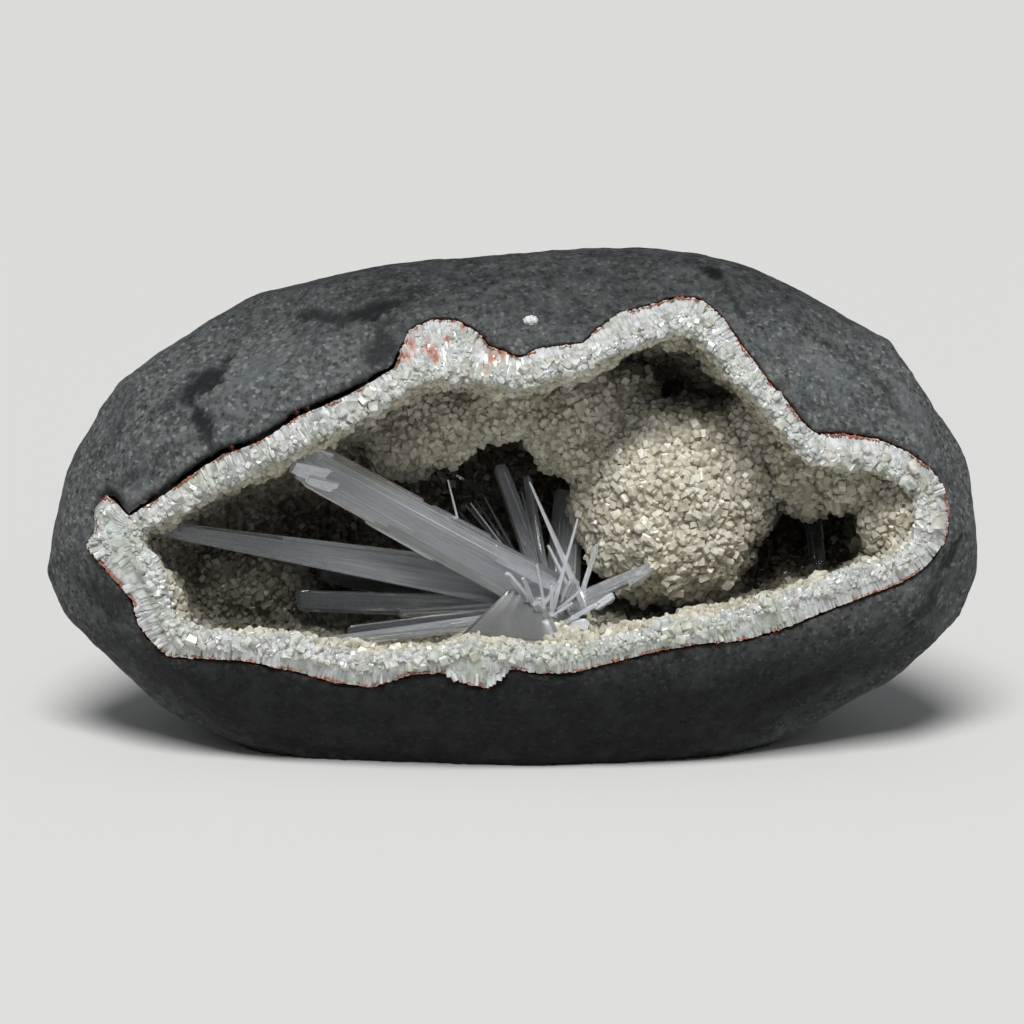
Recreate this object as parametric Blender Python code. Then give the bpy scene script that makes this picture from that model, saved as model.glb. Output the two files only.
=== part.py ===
"""Scolecite geode: a hewn basalt nodule that stands on a flat cut, with a mouth broken into its front.

A pale crust of small zeolite crystals lines the hollow, and clear scolecite blades radiate from its floor.
Outlines are in millimetres as seen straight into the mouth: across to the right, up, and deep into the stone.
"""

import math
import random

import bmesh
import bpy
from mathutils import Matrix, Vector, noise
from mathutils.bvhtree import BVHTree

MM = 0.001
LEAN = math.radians(12)  # the mouth looks this far above the horizon
FACE_HEIGHT = 0.0885  # middle of the face above the ground
FACE_SETBACK = -0.0705  # middle of the face along y, so that the stone's box is centred
GAP = 0.3  # clearance between touching pieces

FRONT_DEPTH = 60  # from the front of the dome to the widest section
BACK_DEPTH = 86  # from the widest section to the back of the stone
FRONT_ANGLES = (17, 33, 48, 60, 70, 80)
BACK_ANGLES = (0, 17, 34, 52, 70)
NODULE_POINTS = 46
ROUGHNESS = 1.3  # unevenness of the hewn surface
ROUGHNESS_SPAN = 34

# Outline of the widest section, clockwise from the left end
SILHOUETTE = (
    (-150, -22), (-148, -9), (-145, 3.5), (-140.5, 18), (-135, 30.5), (-120, 46), (-103, 57), (-84.5, 67),
    (-58.5, 74.5), (-33, 79), (-4, 81.5), (28, 83), (54, 82.5), (72, 79.5), (89.5, 71.5), (109, 60.5),
    (120, 56), (126, 48), (135, 36), (143, 22.5), (148, 8.5), (150, -8), (150, -30), (145, -36),
    (135, -47), (114, -61), (93, -72), (80, -78), (54, -84), (28, -88), (2.5, -90), (-17, -90),
    (-30, -90), (-49, -88), (-68, -84), (-88, -77), (-112, -66), (-125, -57), (-136, -46.5), (-145, -34),
)

# Flat hewn facets: bearing round the view axis from the right, turn towards the viewer, and depth of the bite
FACETS = (
    (118, 38, 3.6), (152, 30, 3.4), (205, 36, 4.2), (232, 26, 3.4), (262, 40, 3.8), (300, 34, 4.0),
    (338, 32, 4.4), (18, 30, 3.6), (52, 40, 3.8), (86, 42, 3.0), (103, 8, 1.6), (33, 2, 2.0),
    (312, -4, 2.4), (225, -2, 2.6), (150, -6, 2.6), (70, -24, 6.0), (118, -30, 7.0), (180, -34, 7.5),
    (0, -32, 7.0), (30, -52, 8.0), (95, -60, 7.0), (150, -62, 8.5), (270, -58, 8.0), (330, -50, 8.0),
)

# Where the crust meets the basalt at the mouth, clockwise from the left end
CONTACT_LINE = (
    (-131.5, 3), (-124.5, -4), (-113.5, 2.5), (-100.5, 11.5), (-93.5, 16), (-80.5, 20.5), (-68.5, 28.5),
    (-52, 35.5), (-37.5, 44), (-32.5, 56.5), (-26.5, 59.5), (-18.5, 59.5), (-11.5, 56), (-7.5, 51),
    (3, 47), (7.5, 50), (23, 52), (27.5, 56.5), (35, 62), (44.5, 64.5), (54, 67.5), (61, 66.5),
    (67.5, 61), (73.5, 52), (83.5, 38.5), (88, 34), (93.5, 26.5), (98, 23), (107, 23), (118, 21.5),
    (127.5, 17.5), (135, 12.5), (140.5, 6), (142, -2), (140.5, -11.5), (134, -19.5), (125, -25),
    (112, -29.5), (99, -34.5), (86.5, -39.5), (74, -43), (60.5, -44), (46, -46.5), (31.5, -50),
    (20.5, -53), (9, -53.5), (0, -52), (-8, -58.5), (-19.5, -55.5), (-21, -53), (-33, -54), (-45, -58),
    (-57, -56.5), (-69.5, -53), (-87.5, -49.5), (-111, -48.5), (-116.5, -44), (-121, -37.5),
    (-122.5, -30.5), (-133.5, -18), (-138, -13), (-135, -9.5), (-134.5, -3),
)

# Inner edge of the crust at the mouth, clockwise from the left end
MOUTH_LINE = (
    (-122.5, -7.5), (-116.5, -5), (-108.5, -1.5), (-99, 4.5), (-89, 9), (-78, 14), (-64.5, 21.5),
    (-49, 29), (-34.5, 38), (-26.5, 42), (-18.5, 43), (-12, 40.5), (-4, 40.5), (2.5, 38.5), (10.5, 42.5),
    (20.5, 44), (28.5, 47.5), (36.5, 52), (46, 55), (55.5, 59), (62, 56.5), (66.5, 49.5), (72, 43),
    (77.5, 37.5), (82.5, 32.5), (88, 26), (92.5, 19.5), (101, 15), (109, 14), (118.5, 14), (126.5, 10),
    (133, 3.5), (134, -4.5), (130, -12.5), (123, -17.5), (112, -21), (99, -25.5), (86.5, -29.5),
    (73.5, -34), (60.5, -37.5), (46, -40), (31.5, -43), (20.5, -45.5), (9, -46.5), (-4, -45.5),
    (-13.5, -44.5), (-23, -46.5), (-36, -48), (-45.5, -49), (-57, -48), (-65, -44.5), (-73, -44),
    (-87.5, -42.5), (-99, -42), (-107, -40.5), (-111.5, -33.5), (-114, -25.5), (-117, -18), (-121.5, -12.5),
)

MOUTH_SCALE = 0.98  # the mouth is nearer to the eye than the widest section, so it is drawn 2 % too large

# Sections of the hollow in the basalt and of the open space in the crust:
# depth, width scale, height scale, shift across, shift up, rounding passes
CONTACT_SECTIONS = (
    (-35, 1, 1, 0, 0, 0), (40, 1, 1, 0, 0, 0), (68, 0.99, 1, 0, 0.5, 6), (90, 0.9, 0.91, 5, 2.5, 12),
    (106, 0.66, 0.66, 12, 5, 16), (113, 0.25, 0.25, 16, 7, 24),
)
HOLLOW_SECTIONS = (
    (-35, 1, 1, 0, 0, 0), (13, 1, 1, 0, 0, 0), (21, 1, 1, 0, 0, 0), (29, 1, 1, 0, 0, 0),
    (37, 1, 1.01, 0, 0, 0), (45, 1, 1.02, 0, -0.5, 2), (53, 0.99, 1.02, 0, -0.5, 3),
    (61, 0.97, 1, 1, -0.5, 4), (69, 0.94, 0.96, 2, 0, 5), (77, 0.89, 0.91, 3, 0.5, 7),
    (84, 0.83, 0.84, 5, 1.5, 9), (90, 0.75, 0.74, 8, 3, 11), (95, 0.63, 0.6, 12, 4.5, 13),
    (99, 0.46, 0.45, 15, 6, 15), (102, 0.28, 0.28, 17, 7, 17),
)
HOLLOW_POINTS = 62
CRYSTAL_RISE = (1.8, 4.6)  # how far the crystal points of the lining stand up
CRYSTAL_SHIFT = 1.1  # how far they are out of line
LINING_START = 16  # no crystal points nearer to the front than this

# Rounded lumps of crystals on the lining: across, up and deep, then the half axes in the same order,
# the bearing, and how finely the lump is divided
LUMPS = (
    (52.5, 1.5, 69, 31, 33, 31, -25, 4), (20, 26, 64, 16, 18, 18, 0, 2), (32, 37, 70, 15, 13, 17, 0, 2),
    (-4, 33, 61, 14, 13, 15, 0, 2), (-33, 22, 66, 14, 13, 15, 0, 2), (-21, 27, 62, 13, 13, 14, 0, 2),
    (82, 27, 64, 13, 16, 16, 30, 2), (95, 15, 60, 15, 18, 15, 20, 2), (110, 9, 50, 10, 9.5, 10.5, 0, 2),
    (126, -4, 50, 13, 16, 14, -20, 2), (-92, -27, 80, 25, 18, 25, 0, 2), (12, -48, 58, 36, 12, 22, 0, 2),
)
LUMP_JITTER = 1.7  # how far the crystal points of a lump stand in or out

# Scolecite crystals: foot, tip, width and thickness at the foot, both at the tip, turn about the length
ROOT = (9, -35, 60)
ROOT_SIZE = (15, 9, 13)
SPRAY = {
    "great blade": ((12, -29, 58), (-68, 15, 33), (16.5, 10), (13.5, 8), 20),
    "long blade": ((6, -27, 66), (-118, -6.5, 47), (15, 7), (4.5, 3), -8),
    "shadow blade": ((2, -31, 70), (-62, -22, 77), (13, 6), (5, 3), 12),
    "level blade": ((6, -33, 66), (-70, -30.5, 62), (8.5, 5), (7.5, 4), 0),
    "low blade": ((4, -36, 56), (-58, -43, 28), (6, 3.5), (3.6, 2.2), 30),
    "low blade behind": ((4, -34, 60), (-52, -39.5, 38), (5, 3), (2.6, 2), -15),
    "low blade above": ((5, -32.5, 62), (-36, -34.5, 48), (4.4, 3), (2.4, 1.6), 40),
    "floor fan": ((9, -32, 58), (-3, -43, 30), (8, 5), (30, 4.5), -50),
    "right rod": ((12, -34, 56), (42, -21, 42), (4.6, 4.2), (4, 3.6), 25),
    "right stub": ((12, -35, 55), (37, -28, 46), (5.2, 4.2), (4.4, 3.4), 10),
    "tall needle": ((24, -33, 50), (5.5, 7.5, 42), (3.0, 2.2), (0.9, 0.8), 30),
    "tall needle twin": ((20, -32, 52), (9, -10.5, 45), (2.4, 2.0), (1.2, 1.0), 0),
    "leaning needle": ((11, -36, 50), (21, -3, 44), (2.2, 1.8), (0.9, 0.8), 15),
    "right needle": ((19, -31, 54), (27, -12.5, 43), (2.4, 2.0), (1.5, 1.3), 45),
    "left tooth twin": ((6, -32, 52), (1, -20, 40), (3.0, 2.2), (2.0, 1.4), 60),
    "middle tooth": ((9, -35, 50), (5, -15, 42), (2.2, 1.8), (1.2, 1.0), 20),
    "crossing tooth": ((9, -34, 52), (15, -24, 40), (2.0, 1.6), (1.0, 0.9), 35),
    "low tooth": ((16, -37, 50), (26, -32, 40), (2.4, 2.2), (1.8, 1.6), 5),
    "back blade": ((12, -31, 66), (-4, 13, 77), (7, 4), (4.5, 3), -30),
    "back blade twin": ((11, -31, 68), (5, 9.5, 79), (5, 3.5), (3, 2), 40),
    "broad back blade": ((16, -30, 70), (18.5, 5, 85), (13, 5), (10, 4), 35),
}

# Those of the spray that stand in the crust
ROOTED = ("long blade", "shadow blade", "level blade", "low blade", "low blade behind", "floor fan")

# Crystals that stand clear of the spray, each rooted in the lining
LONE_CRYSTALS = {
    "scolecite_back_needles": ((3.5, -4, 105), (-18, 10, 62), (3.8, 2.8), (1.2, 1.0), 20),
    "scolecite_deep_blade": ((95.5, 18, 82), (99, -22, 66), (7, 3), (5, 2.4), -35),
}
BLADE_SIDES = 6
NEEDLE_SIDES = 4
NEEDLE_WIDTH = 4.5  # a crystal no wider than this at its foot has the fewer sides
SHOULDER = 0.94  # where the point of a crystal starts, along its length
POINT_SIZE = 0.35  # end face, as a share of the shoulder

AMYGDULE = (6, 58.5, 2.4, 1.6)  # white bead in the basalt: across, up, half length, half width

COLOURS = {
    "basalt": ((0.072, 0.076, 0.080), 0.72),
    "crust": ((0.58, 0.53, 0.42), 0.45),
    "scolecite": ((0.70, 0.72, 0.74), 0.12),
    "bead": ((0.80, 0.78, 0.76), 0.4),
}


def clear_scene():
    for obj in list(bpy.data.objects):
        bpy.data.objects.remove(obj)


def on_face(across, up, deep):
    """A point given in millimetres as seen into the mouth, in metres on the standing stone."""
    y = up * math.sin(LEAN) + deep * math.cos(LEAN)
    z = up * math.cos(LEAN) - deep * math.sin(LEAN)
    return Vector((across, y, z)) * MM + Vector((0, FACE_SETBACK, FACE_HEIGHT))


def face_direction(across, up, deep):
    return (on_face(across, up, deep) - on_face(0, 0, 0)).normalized()


def material(name):
    made = bpy.data.materials.get(name)
    if made is None:
        colour, roughness = COLOURS[name]
        made = bpy.data.materials.new(name)
        made.use_nodes = True
        shader = made.node_tree.nodes["Principled BSDF"]
        shader.inputs["Base Color"].default_value = (*colour, 1)
        shader.inputs["Roughness"].default_value = roughness
        shader.inputs["Metallic"].default_value = 0
    return made


def new_object(name, bm, finish=None):
    bmesh.ops.triangulate(bm, faces=bm.faces)
    bmesh.ops.recalc_face_normals(bm, faces=bm.faces)
    if bm.calc_volume(signed=True) < 0:
        bmesh.ops.reverse_faces(bm, faces=bm.faces)
    mesh = bpy.data.meshes.new(name)
    bm.to_mesh(mesh)
    bm.free()
    obj = bpy.data.objects.new(name, mesh)
    bpy.context.scene.collection.objects.link(obj)
    if finish:
        mesh.materials.append(material(finish))
    return obj


def closed_curve(points, count):
    """Evenly spaced points along the smooth closed curve through the given ones."""
    steps = 6
    dense = []
    for i in range(len(points)):
        a, b, c, d = (Vector(points[(i + k) % len(points)]) for k in (-1, 0, 1, 2))
        for step in range(steps):
            t = step / steps
            bend = (2 * a - 5 * b + 4 * c - d) * t**2 + (3 * b - a - 3 * c + d) * t**3
            dense.append((2 * b + (c - a) * t + bend) / 2)
    lengths = [(dense[(i + 1) % len(dense)] - p).length for i, p in enumerate(dense)]
    spacing = sum(lengths) / count
    even, walked = [], 0.0
    for i, length in enumerate(lengths):
        while len(even) < count and spacing * len(even) <= walked + length:
            share = (spacing * len(even) - walked) / length
            even.append(dense[i].lerp(dense[(i + 1) % len(dense)], share))
        walked += length
    return even


def rounded(outline, passes):
    ring = [Vector(p) for p in outline]
    for _ in range(passes):
        ring = [(ring[i - 1] + 2 * ring[i] + ring[(i + 1) % len(ring)]) / 4 for i in range(len(ring))]
    return ring


def loft(rings):
    """A closed mesh through rings of equally many points: a flat cap in front and a fan at the back."""
    bm = bmesh.new()
    rows = [[bm.verts.new(p) for p in ring] for ring in rings]
    for near, far in zip(rows, rows[1:]):
        for i in range(len(near)):
            bm.faces.new((near[i - 1], near[i], far[i], far[i - 1]))
    bm.faces.new(rows[0])
    back = bm.verts.new(sum(rings[-1], Vector()) / len(rings[-1]))
    for i in range(len(rows[-1])):
        bm.faces.new((rows[-1][i - 1], rows[-1][i], back))
    return bm


def bag(outline, sections, grow=0.0):
    """Rings of a hollow that starts as the outline in front of the stone and closes inside it."""
    rings = []
    for deep, wide, high, across, up, passes in sections:
        ring = rounded(outline, passes)
        centre = sum(ring, Vector((0, 0))) / len(ring)
        points = []
        for i, p in enumerate(ring):
            along = ring[(i + 1) % len(ring)] - ring[i - 1]
            outward = Vector((-along.y, along.x)).normalized() * grow
            x = centre.x + (p.x - centre.x) * wide + across + outward.x
            y = centre.y + (p.y - centre.y) * high + up + outward.y
            points.append((x * MOUTH_SCALE, y * MOUTH_SCALE, deep + grow))
        rings.append(points)
    return rings


def flat_cut(bm, point, normal):
    """Removes everything on the normal's side of a plane, and closes the cut with one flat face."""
    geometry = bm.verts[:] + bm.edges[:] + bm.faces[:]
    cut = bmesh.ops.bisect_plane(
        bm, geom=geometry, plane_co=point, plane_no=normal, clear_outer=True, dist=1e-7
    )
    edges = [e for e in cut["geom_cut"] if isinstance(e, bmesh.types.BMEdge)]
    if edges:
        bmesh.ops.contextual_create(bm, geom=edges)


def make_nodule():
    """The whole stone before it was opened: a dome in front, a rounder back, hewn facets and a flat foot."""
    outline = closed_curve(SILHOUETTE, NODULE_POINTS)
    sections = [
        (FRONT_DEPTH * (1 - math.cos(math.radians(a))), math.sin(math.radians(a))) for a in FRONT_ANGLES
    ]
    sections += [
        (FRONT_DEPTH + BACK_DEPTH * math.sin(math.radians(a)), math.cos(math.radians(a)) ** 0.8)
        for a in BACK_ANGLES
    ]
    rings = []
    for deep, size in sections:
        ring = []
        for p in outline:
            point = Vector((p.x * size, p.y * size, deep))
            swell = noise.noise(point / ROUGHNESS_SPAN) * ROUGHNESS
            outward = Vector((p.x, p.y, deep - FRONT_DEPTH)).normalized()
            ring.append(on_face(*(point + outward * swell)))
        rings.append(ring)
    bm = loft(rings)
    for bearing, turn, bite in FACETS:
        b, t = math.radians(bearing), math.radians(turn)
        normal = face_direction(math.cos(b) * math.cos(t), math.sin(b) * math.cos(t), -math.sin(t))
        furthest = max(bm.verts, key=lambda v: v.co.dot(normal)).co
        flat_cut(bm, furthest - normal * bite * MM, normal)
    flat_cut(bm, Vector((0, 0, 0)), Vector((0, 0, -1)))
    return new_object("nodule", bm)


def combine(obj, other, operation, keep_other=False):
    """Applies one Boolean to the object, keeps its largest body and drops any chip that came loose."""
    modifier = obj.modifiers.new("cut", "BOOLEAN")
    modifier.object = other
    modifier.operation = operation
    modifier.solver = "EXACT"
    graph = bpy.context.evaluated_depsgraph_get()
    mesh = bpy.data.meshes.new_from_object(obj.evaluated_get(graph))
    obj.modifiers.clear()
    obj.data = mesh
    drop_loose_chips(mesh)
    if not keep_other:
        bpy.data.objects.remove(other)


def drop_loose_chips(mesh):
    bm = bmesh.new()
    bm.from_mesh(mesh)
    unseen, bodies = set(bm.verts), []
    while unseen:
        body, edge_of_search = set(), [next(iter(unseen))]
        while edge_of_search:
            vert = edge_of_search.pop()
            if vert not in body:
                body.add(vert)
                edge_of_search += [e.other_vert(vert) for e in vert.link_edges]
        bodies.append(body)
        unseen -= body
    bodies.sort(key=len)
    for body in bodies[:-1]:
        bmesh.ops.delete(bm, geom=list(body), context="VERTS")
    bmesh.ops.triangulate(bm, faces=bm.faces)
    bm.to_mesh(mesh)
    bm.free()


def ellipsoid(name, centre, half_axes, fineness, bearing=0, jitter=0.0, seed=0):
    """An icosphere stretched to half axes, turned round the view axis, its points moved in and out by jitter."""
    dice = random.Random(seed)
    turn = Matrix.Rotation(math.radians(bearing), 4, "Z")
    bm = bmesh.new()
    bmesh.ops.create_icosphere(bm, subdivisions=fineness, radius=1)
    for vert in bm.verts:
        outward = vert.co.normalized()
        place = Vector(a * b for a, b in zip(vert.co, half_axes)) + outward * dice.uniform(-jitter, jitter)
        vert.co = on_face(*(turn @ place + Vector(centre)))
    return new_object(name, bm)


def face_depth(nodule_tree, across, up):
    """How deep the front of the stone lies at a place on the face, in millimetres."""
    start = on_face(across, up, -50)
    hit = nodule_tree.ray_cast(start, face_direction(0, 0, 1))
    return (hit[0] - start).length / MM - 50


def make_basalt(nodule):
    basalt = nodule.copy()
    basalt.data = nodule.data.copy()
    basalt.name = "basalt_shell"
    bpy.context.scene.collection.objects.link(basalt)
    rings = [[on_face(*p) for p in ring] for ring in bag(CONTACT_LINE, CONTACT_SECTIONS, GAP)]
    combine(basalt, new_object("hollow", loft(rings)), "DIFFERENCE")
    tree = BVHTree.FromObject(nodule, bpy.context.evaluated_depsgraph_get())
    across, up, long, wide = AMYGDULE
    centre = (across, up, face_depth(tree, across, up))
    combine(basalt, ellipsoid("pocket", centre, [a + GAP for a in (long, wide, wide)], 2), "DIFFERENCE")
    basalt.data.materials.clear()
    basalt.data.materials.append(material("basalt"))
    bead = ellipsoid("amygdule", centre, (long, wide, wide), 2)
    bead.data.materials.append(material("bead"))


def lining_rings():
    """Rings of the open space, with every second point drawn in to make a crystal point of the crust."""
    dice = random.Random(11)
    rings = []
    outline = closed_curve(MOUTH_LINE, HOLLOW_POINTS)
    for row, ring in enumerate(bag(outline, HOLLOW_SECTIONS)):
        centre = sum((Vector(p) for p in ring), Vector()) / len(ring)
        size = HOLLOW_SECTIONS[row][1]
        points = []
        for i, p in enumerate(ring):
            point = Vector(p)
            if point.z >= LINING_START:
                point += Vector(dice.uniform(-CRYSTAL_SHIFT, CRYSTAL_SHIFT) for _ in range(3)) * size
                if (i + row) % 2:
                    inward = Vector((centre.x - p[0], centre.y - p[1], -0.35 * (point - centre).length))
                    point += inward.normalized() * dice.uniform(*CRYSTAL_RISE) * size
            points.append(on_face(*point))
        rings.append(points)
    return rings


def make_crust(nodule, sockets):
    """The pale lining: what lies between the basalt and the open space, with its lumps left standing."""
    rings = [[on_face(*p) for p in ring] for ring in bag(CONTACT_LINE, CONTACT_SECTIONS)]
    crust = new_object("crystal_crust", loft(rings), "crust")
    combine(crust, nodule, "INTERSECT", keep_other=True)
    hollow = new_object("open space", loft(lining_rings()))
    for number, (across, up, deep, wide, high, thick, bearing, fineness) in enumerate(LUMPS):
        half_axes = (wide, high, thick)
        lump = ellipsoid("lump", (across, up, deep), half_axes, fineness, bearing, LUMP_JITTER, number)
        combine(hollow, lump, "DIFFERENCE")
    combine(crust, hollow, "DIFFERENCE")
    for socket in sockets:
        combine(crust, socket, "DIFFERENCE")
    crust.data.materials.clear()
    crust.data.materials.append(material("crust"))


def crystal(name, foot, tip, foot_size, tip_size, turn, grow=0.0):
    """A flattened prism with a blunt point, from foot to tip; grow fattens it all round."""
    sides = BLADE_SIDES if max(foot_size) > NEEDLE_WIDTH else NEEDLE_SIDES
    foot, tip = Vector(foot), Vector(tip)
    along = (tip - foot).normalized()
    side = along.cross(Vector((0, 0, 1))).normalized()
    face = side.cross(along)
    roll = Matrix.Rotation(math.radians(turn), 3, along)
    side, face = roll @ side, roll @ face
    bm = bmesh.new()
    rows = []
    shoulder = foot.lerp(tip, SHOULDER)
    ends = (foot - along * grow, shoulder, tip + along * grow)
    for centre, (wide, thick), share in zip(ends, (foot_size, tip_size, tip_size), (1, 1, POINT_SIZE)):
        row = []
        for i in range(sides):
            angle = 2 * math.pi * (i + 0.5) / sides
            x = math.cos(angle) * (wide / 2 * share + grow)
            y = math.sin(angle) * (thick / 2 * share + grow)
            row.append(bm.verts.new(on_face(*(centre + side * x + face * y))))
        rows.append(row)
    for near, far in zip(rows, rows[1:]):
        for i in range(sides):
            bm.faces.new((near[i - 1], near[i], far[i], far[i - 1]))
    bm.faces.new(rows[0])
    bm.faces.new(rows[-1])
    return new_object(name, bm, "scolecite")


def make_root(grow=0.0):
    return ellipsoid("scolecite_spray", ROOT, [a + grow for a in ROOT_SIZE], 2)


def make_spray():
    """The radiating spray: every crystal joined to the knob that they grow from."""
    spray = make_root()
    for row in SPRAY.values():
        combine(spray, crystal("blade", *row), "UNION")
    spray.data.materials.clear()
    spray.data.materials.append(material("scolecite"))


def collect(title):
    """Puts the finished pieces in one collection named for the object."""
    home = bpy.data.collections.new(title)
    bpy.context.scene.collection.children.link(home)
    for obj in list(bpy.context.scene.collection.objects):
        home.objects.link(obj)
        bpy.context.scene.collection.objects.unlink(obj)


def main():
    clear_scene()
    nodule = make_nodule()
    make_basalt(nodule)
    make_spray()
    for name, row in LONE_CRYSTALS.items():
        crystal(name, *row)
    rooted = [SPRAY[name] for name in ROOTED] + list(LONE_CRYSTALS.values())
    make_crust(nodule, [make_root(GAP)] + [crystal("socket", *row, GAP) for row in rooted])
    bpy.data.objects.remove(nodule)
    collect("scolecite_geode")


main()
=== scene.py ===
# Scolecite geode: the looks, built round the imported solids.
# Everything is in metres on the standing stone; outlines are in millimetres as seen straight into the mouth.
import itertools
import math
import random

import bmesh
import bpy
import numpy as np
from mathutils import Matrix, Vector, noise
from mathutils.bvhtree import BVHTree


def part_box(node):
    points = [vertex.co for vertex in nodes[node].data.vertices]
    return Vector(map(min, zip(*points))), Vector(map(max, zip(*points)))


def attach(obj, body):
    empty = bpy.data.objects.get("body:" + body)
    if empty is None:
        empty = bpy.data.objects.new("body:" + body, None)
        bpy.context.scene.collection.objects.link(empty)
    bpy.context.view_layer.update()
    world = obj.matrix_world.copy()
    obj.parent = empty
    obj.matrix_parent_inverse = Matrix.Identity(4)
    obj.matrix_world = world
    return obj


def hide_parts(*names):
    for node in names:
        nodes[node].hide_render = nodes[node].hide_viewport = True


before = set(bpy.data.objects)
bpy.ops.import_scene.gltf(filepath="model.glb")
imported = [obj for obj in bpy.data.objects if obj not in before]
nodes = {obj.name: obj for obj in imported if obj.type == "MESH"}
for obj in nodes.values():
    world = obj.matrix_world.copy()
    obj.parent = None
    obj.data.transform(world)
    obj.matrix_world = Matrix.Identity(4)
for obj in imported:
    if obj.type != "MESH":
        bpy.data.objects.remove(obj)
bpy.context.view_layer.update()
mm = 0.001

face = {
    "leanDeg": 12,  # the mouth looks this far above the horizon
    "height": 0.0885,  # middle of the face above the floor
    "setback": -0.0705,  # middle of the face along y
    "middleDepth": 60,  # depth of the stone's widest section, mm
    "mouthScale": 0.98,
    "before": -20,  # mm before the face, where a look straight in starts
}


def onFace(across, up, deep):
    lean = math.radians(face["leanDeg"])
    y = up * math.sin(lean) + deep * math.cos(lean)
    z = up * math.cos(lean) - deep * math.sin(lean)
    return Vector((across, y, z)) * mm + Vector((0, face["setback"], face["height"]))


def offFace(points):  # the same turned back: world metres to across, up, deep in millimetres
    lean = math.radians(face["leanDeg"])
    p = (np.asarray(points, float).reshape(-1, 3) - (0, face["setback"], face["height"])) / mm
    up = p[:, 1] * math.sin(lean) + p[:, 2] * math.cos(lean)
    deep = p[:, 1] * math.cos(lean) - p[:, 2] * math.sin(lean)
    return np.stack([p[:, 0], up, deep], 1)


into = (onFace(0, 0, 1) - onFace(0, 0, 0)).normalized()  # straight into the mouth

# Where the crust meets the basalt at the mouth, clockwise from the left end
contactLine = [
    (-131.5, 3), (-124.5, -4), (-113.5, 2.5), (-100.5, 11.5), (-93.5, 16), (-80.5, 20.5), (-68.5, 28.5),
    (-52, 35.5), (-37.5, 44), (-32.5, 56.5), (-26.5, 59.5), (-18.5, 59.5), (-11.5, 56), (-7.5, 51),
    (3, 47), (7.5, 50), (23, 52), (27.5, 56.5), (35, 62), (44.5, 64.5), (54, 67.5), (61, 66.5),
    (67.5, 61), (73.5, 52), (83.5, 38.5), (88, 34), (93.5, 26.5), (98, 23), (107, 23), (118, 21.5),
    (127.5, 17.5), (135, 12.5), (140.5, 6), (142, -2), (140.5, -11.5), (134, -19.5), (125, -25),
    (112, -29.5), (99, -34.5), (86.5, -39.5), (74, -43), (60.5, -44), (46, -46.5), (31.5, -50),
    (20.5, -53), (9, -53.5), (0, -52), (-8, -58.5), (-19.5, -55.5), (-21, -53), (-33, -54), (-45, -58),
    (-57, -56.5), (-69.5, -53), (-87.5, -49.5), (-111, -48.5), (-116.5, -44), (-121, -37.5),
    (-122.5, -30.5), (-133.5, -18), (-138, -13), (-135, -9.5), (-134.5, -3),
]

# Inner edge of the crust at the mouth, clockwise from the left end
mouthLine = [
    (-122.5, -7.5), (-116.5, -5), (-108.5, -1.5), (-99, 4.5), (-89, 9), (-78, 14), (-64.5, 21.5),
    (-49, 29), (-34.5, 38), (-26.5, 42), (-18.5, 43), (-12, 40.5), (-4, 40.5), (2.5, 38.5), (10.5, 42.5),
    (20.5, 44), (28.5, 47.5), (36.5, 52), (46, 55), (55.5, 59), (62, 56.5), (66.5, 49.5), (72, 43),
    (77.5, 37.5), (82.5, 32.5), (88, 26), (92.5, 19.5), (101, 15), (109, 14), (118.5, 14), (126.5, 10),
    (133, 3.5), (134, -4.5), (130, -12.5), (123, -17.5), (112, -21), (99, -25.5), (86.5, -29.5),
    (73.5, -34), (60.5, -37.5), (46, -40), (31.5, -43), (20.5, -45.5), (9, -46.5), (-4, -45.5),
    (-13.5, -44.5), (-23, -46.5), (-36, -48), (-45.5, -49), (-57, -48), (-65, -44.5), (-73, -44),
    (-87.5, -42.5), (-99, -42), (-107, -40.5), (-111.5, -33.5), (-114, -25.5), (-117, -18), (-121.5, -12.5),
]


def closedCurve(points, spacing):  # evenly spaced points along the line, at the scale of the solids
    ring = np.array(points + points[:1], float) * face["mouthScale"]
    steps = np.linalg.norm(np.diff(ring, axis=0), axis=1)
    walked = np.concatenate([[0], np.cumsum(steps)])
    places = np.linspace(0, walked[-1], int(walked[-1] / spacing), endpoint=False)
    return np.stack([np.interp(places, walked, ring[:, k]) for k in (0, 1)], 1)


def distanceTo(curve, points, chunk=20000):  # from each point to the nearest one of a dense curve, mm
    found = np.empty(len(points))
    for start in range(0, len(points), chunk):
        part = points[start : start + chunk, None, :2] - curve[None]
        found[start : start + chunk] = np.sqrt((part**2).sum(2).min(1))
    return found


def insideMouth(points):  # whether each point, seen straight on, lies inside the inner edge
    x, y = points[:, 0], points[:, 1]
    inside = np.zeros(len(points), bool)
    ring = np.array(mouthLine) * face["mouthScale"]
    for (x0, y0), (x1, y1) in zip(ring, np.roll(ring, -1, 0)):
        if y0 == y1:
            continue
        crosses = ((y0 > y) != (y1 > y)) & (x < (x1 - x0) * (y - y0) / (y1 - y0) + x0)
        inside ^= crosses
    return inside


def nearestIn(cloud, points, chunk=8000):  # distance from each point to the nearest of the cloud, in 3D
    found = np.empty(len(points))
    for start in range(0, len(points), chunk):
        part = points[start : start + chunk]
        square = (part**2).sum(1)[:, None] + (cloud**2).sum(1)[None] - 2 * part @ cloud.T
        found[start : start + chunk] = np.sqrt(np.maximum(square.min(1), 0))
    return found


def treeOf(mesh):
    co = [v.co.copy() for v in mesh.vertices]
    mesh.calc_loop_triangles()
    return BVHTree.FromPolygons(co, [tuple(t.vertices) for t in mesh.loop_triangles])


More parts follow.
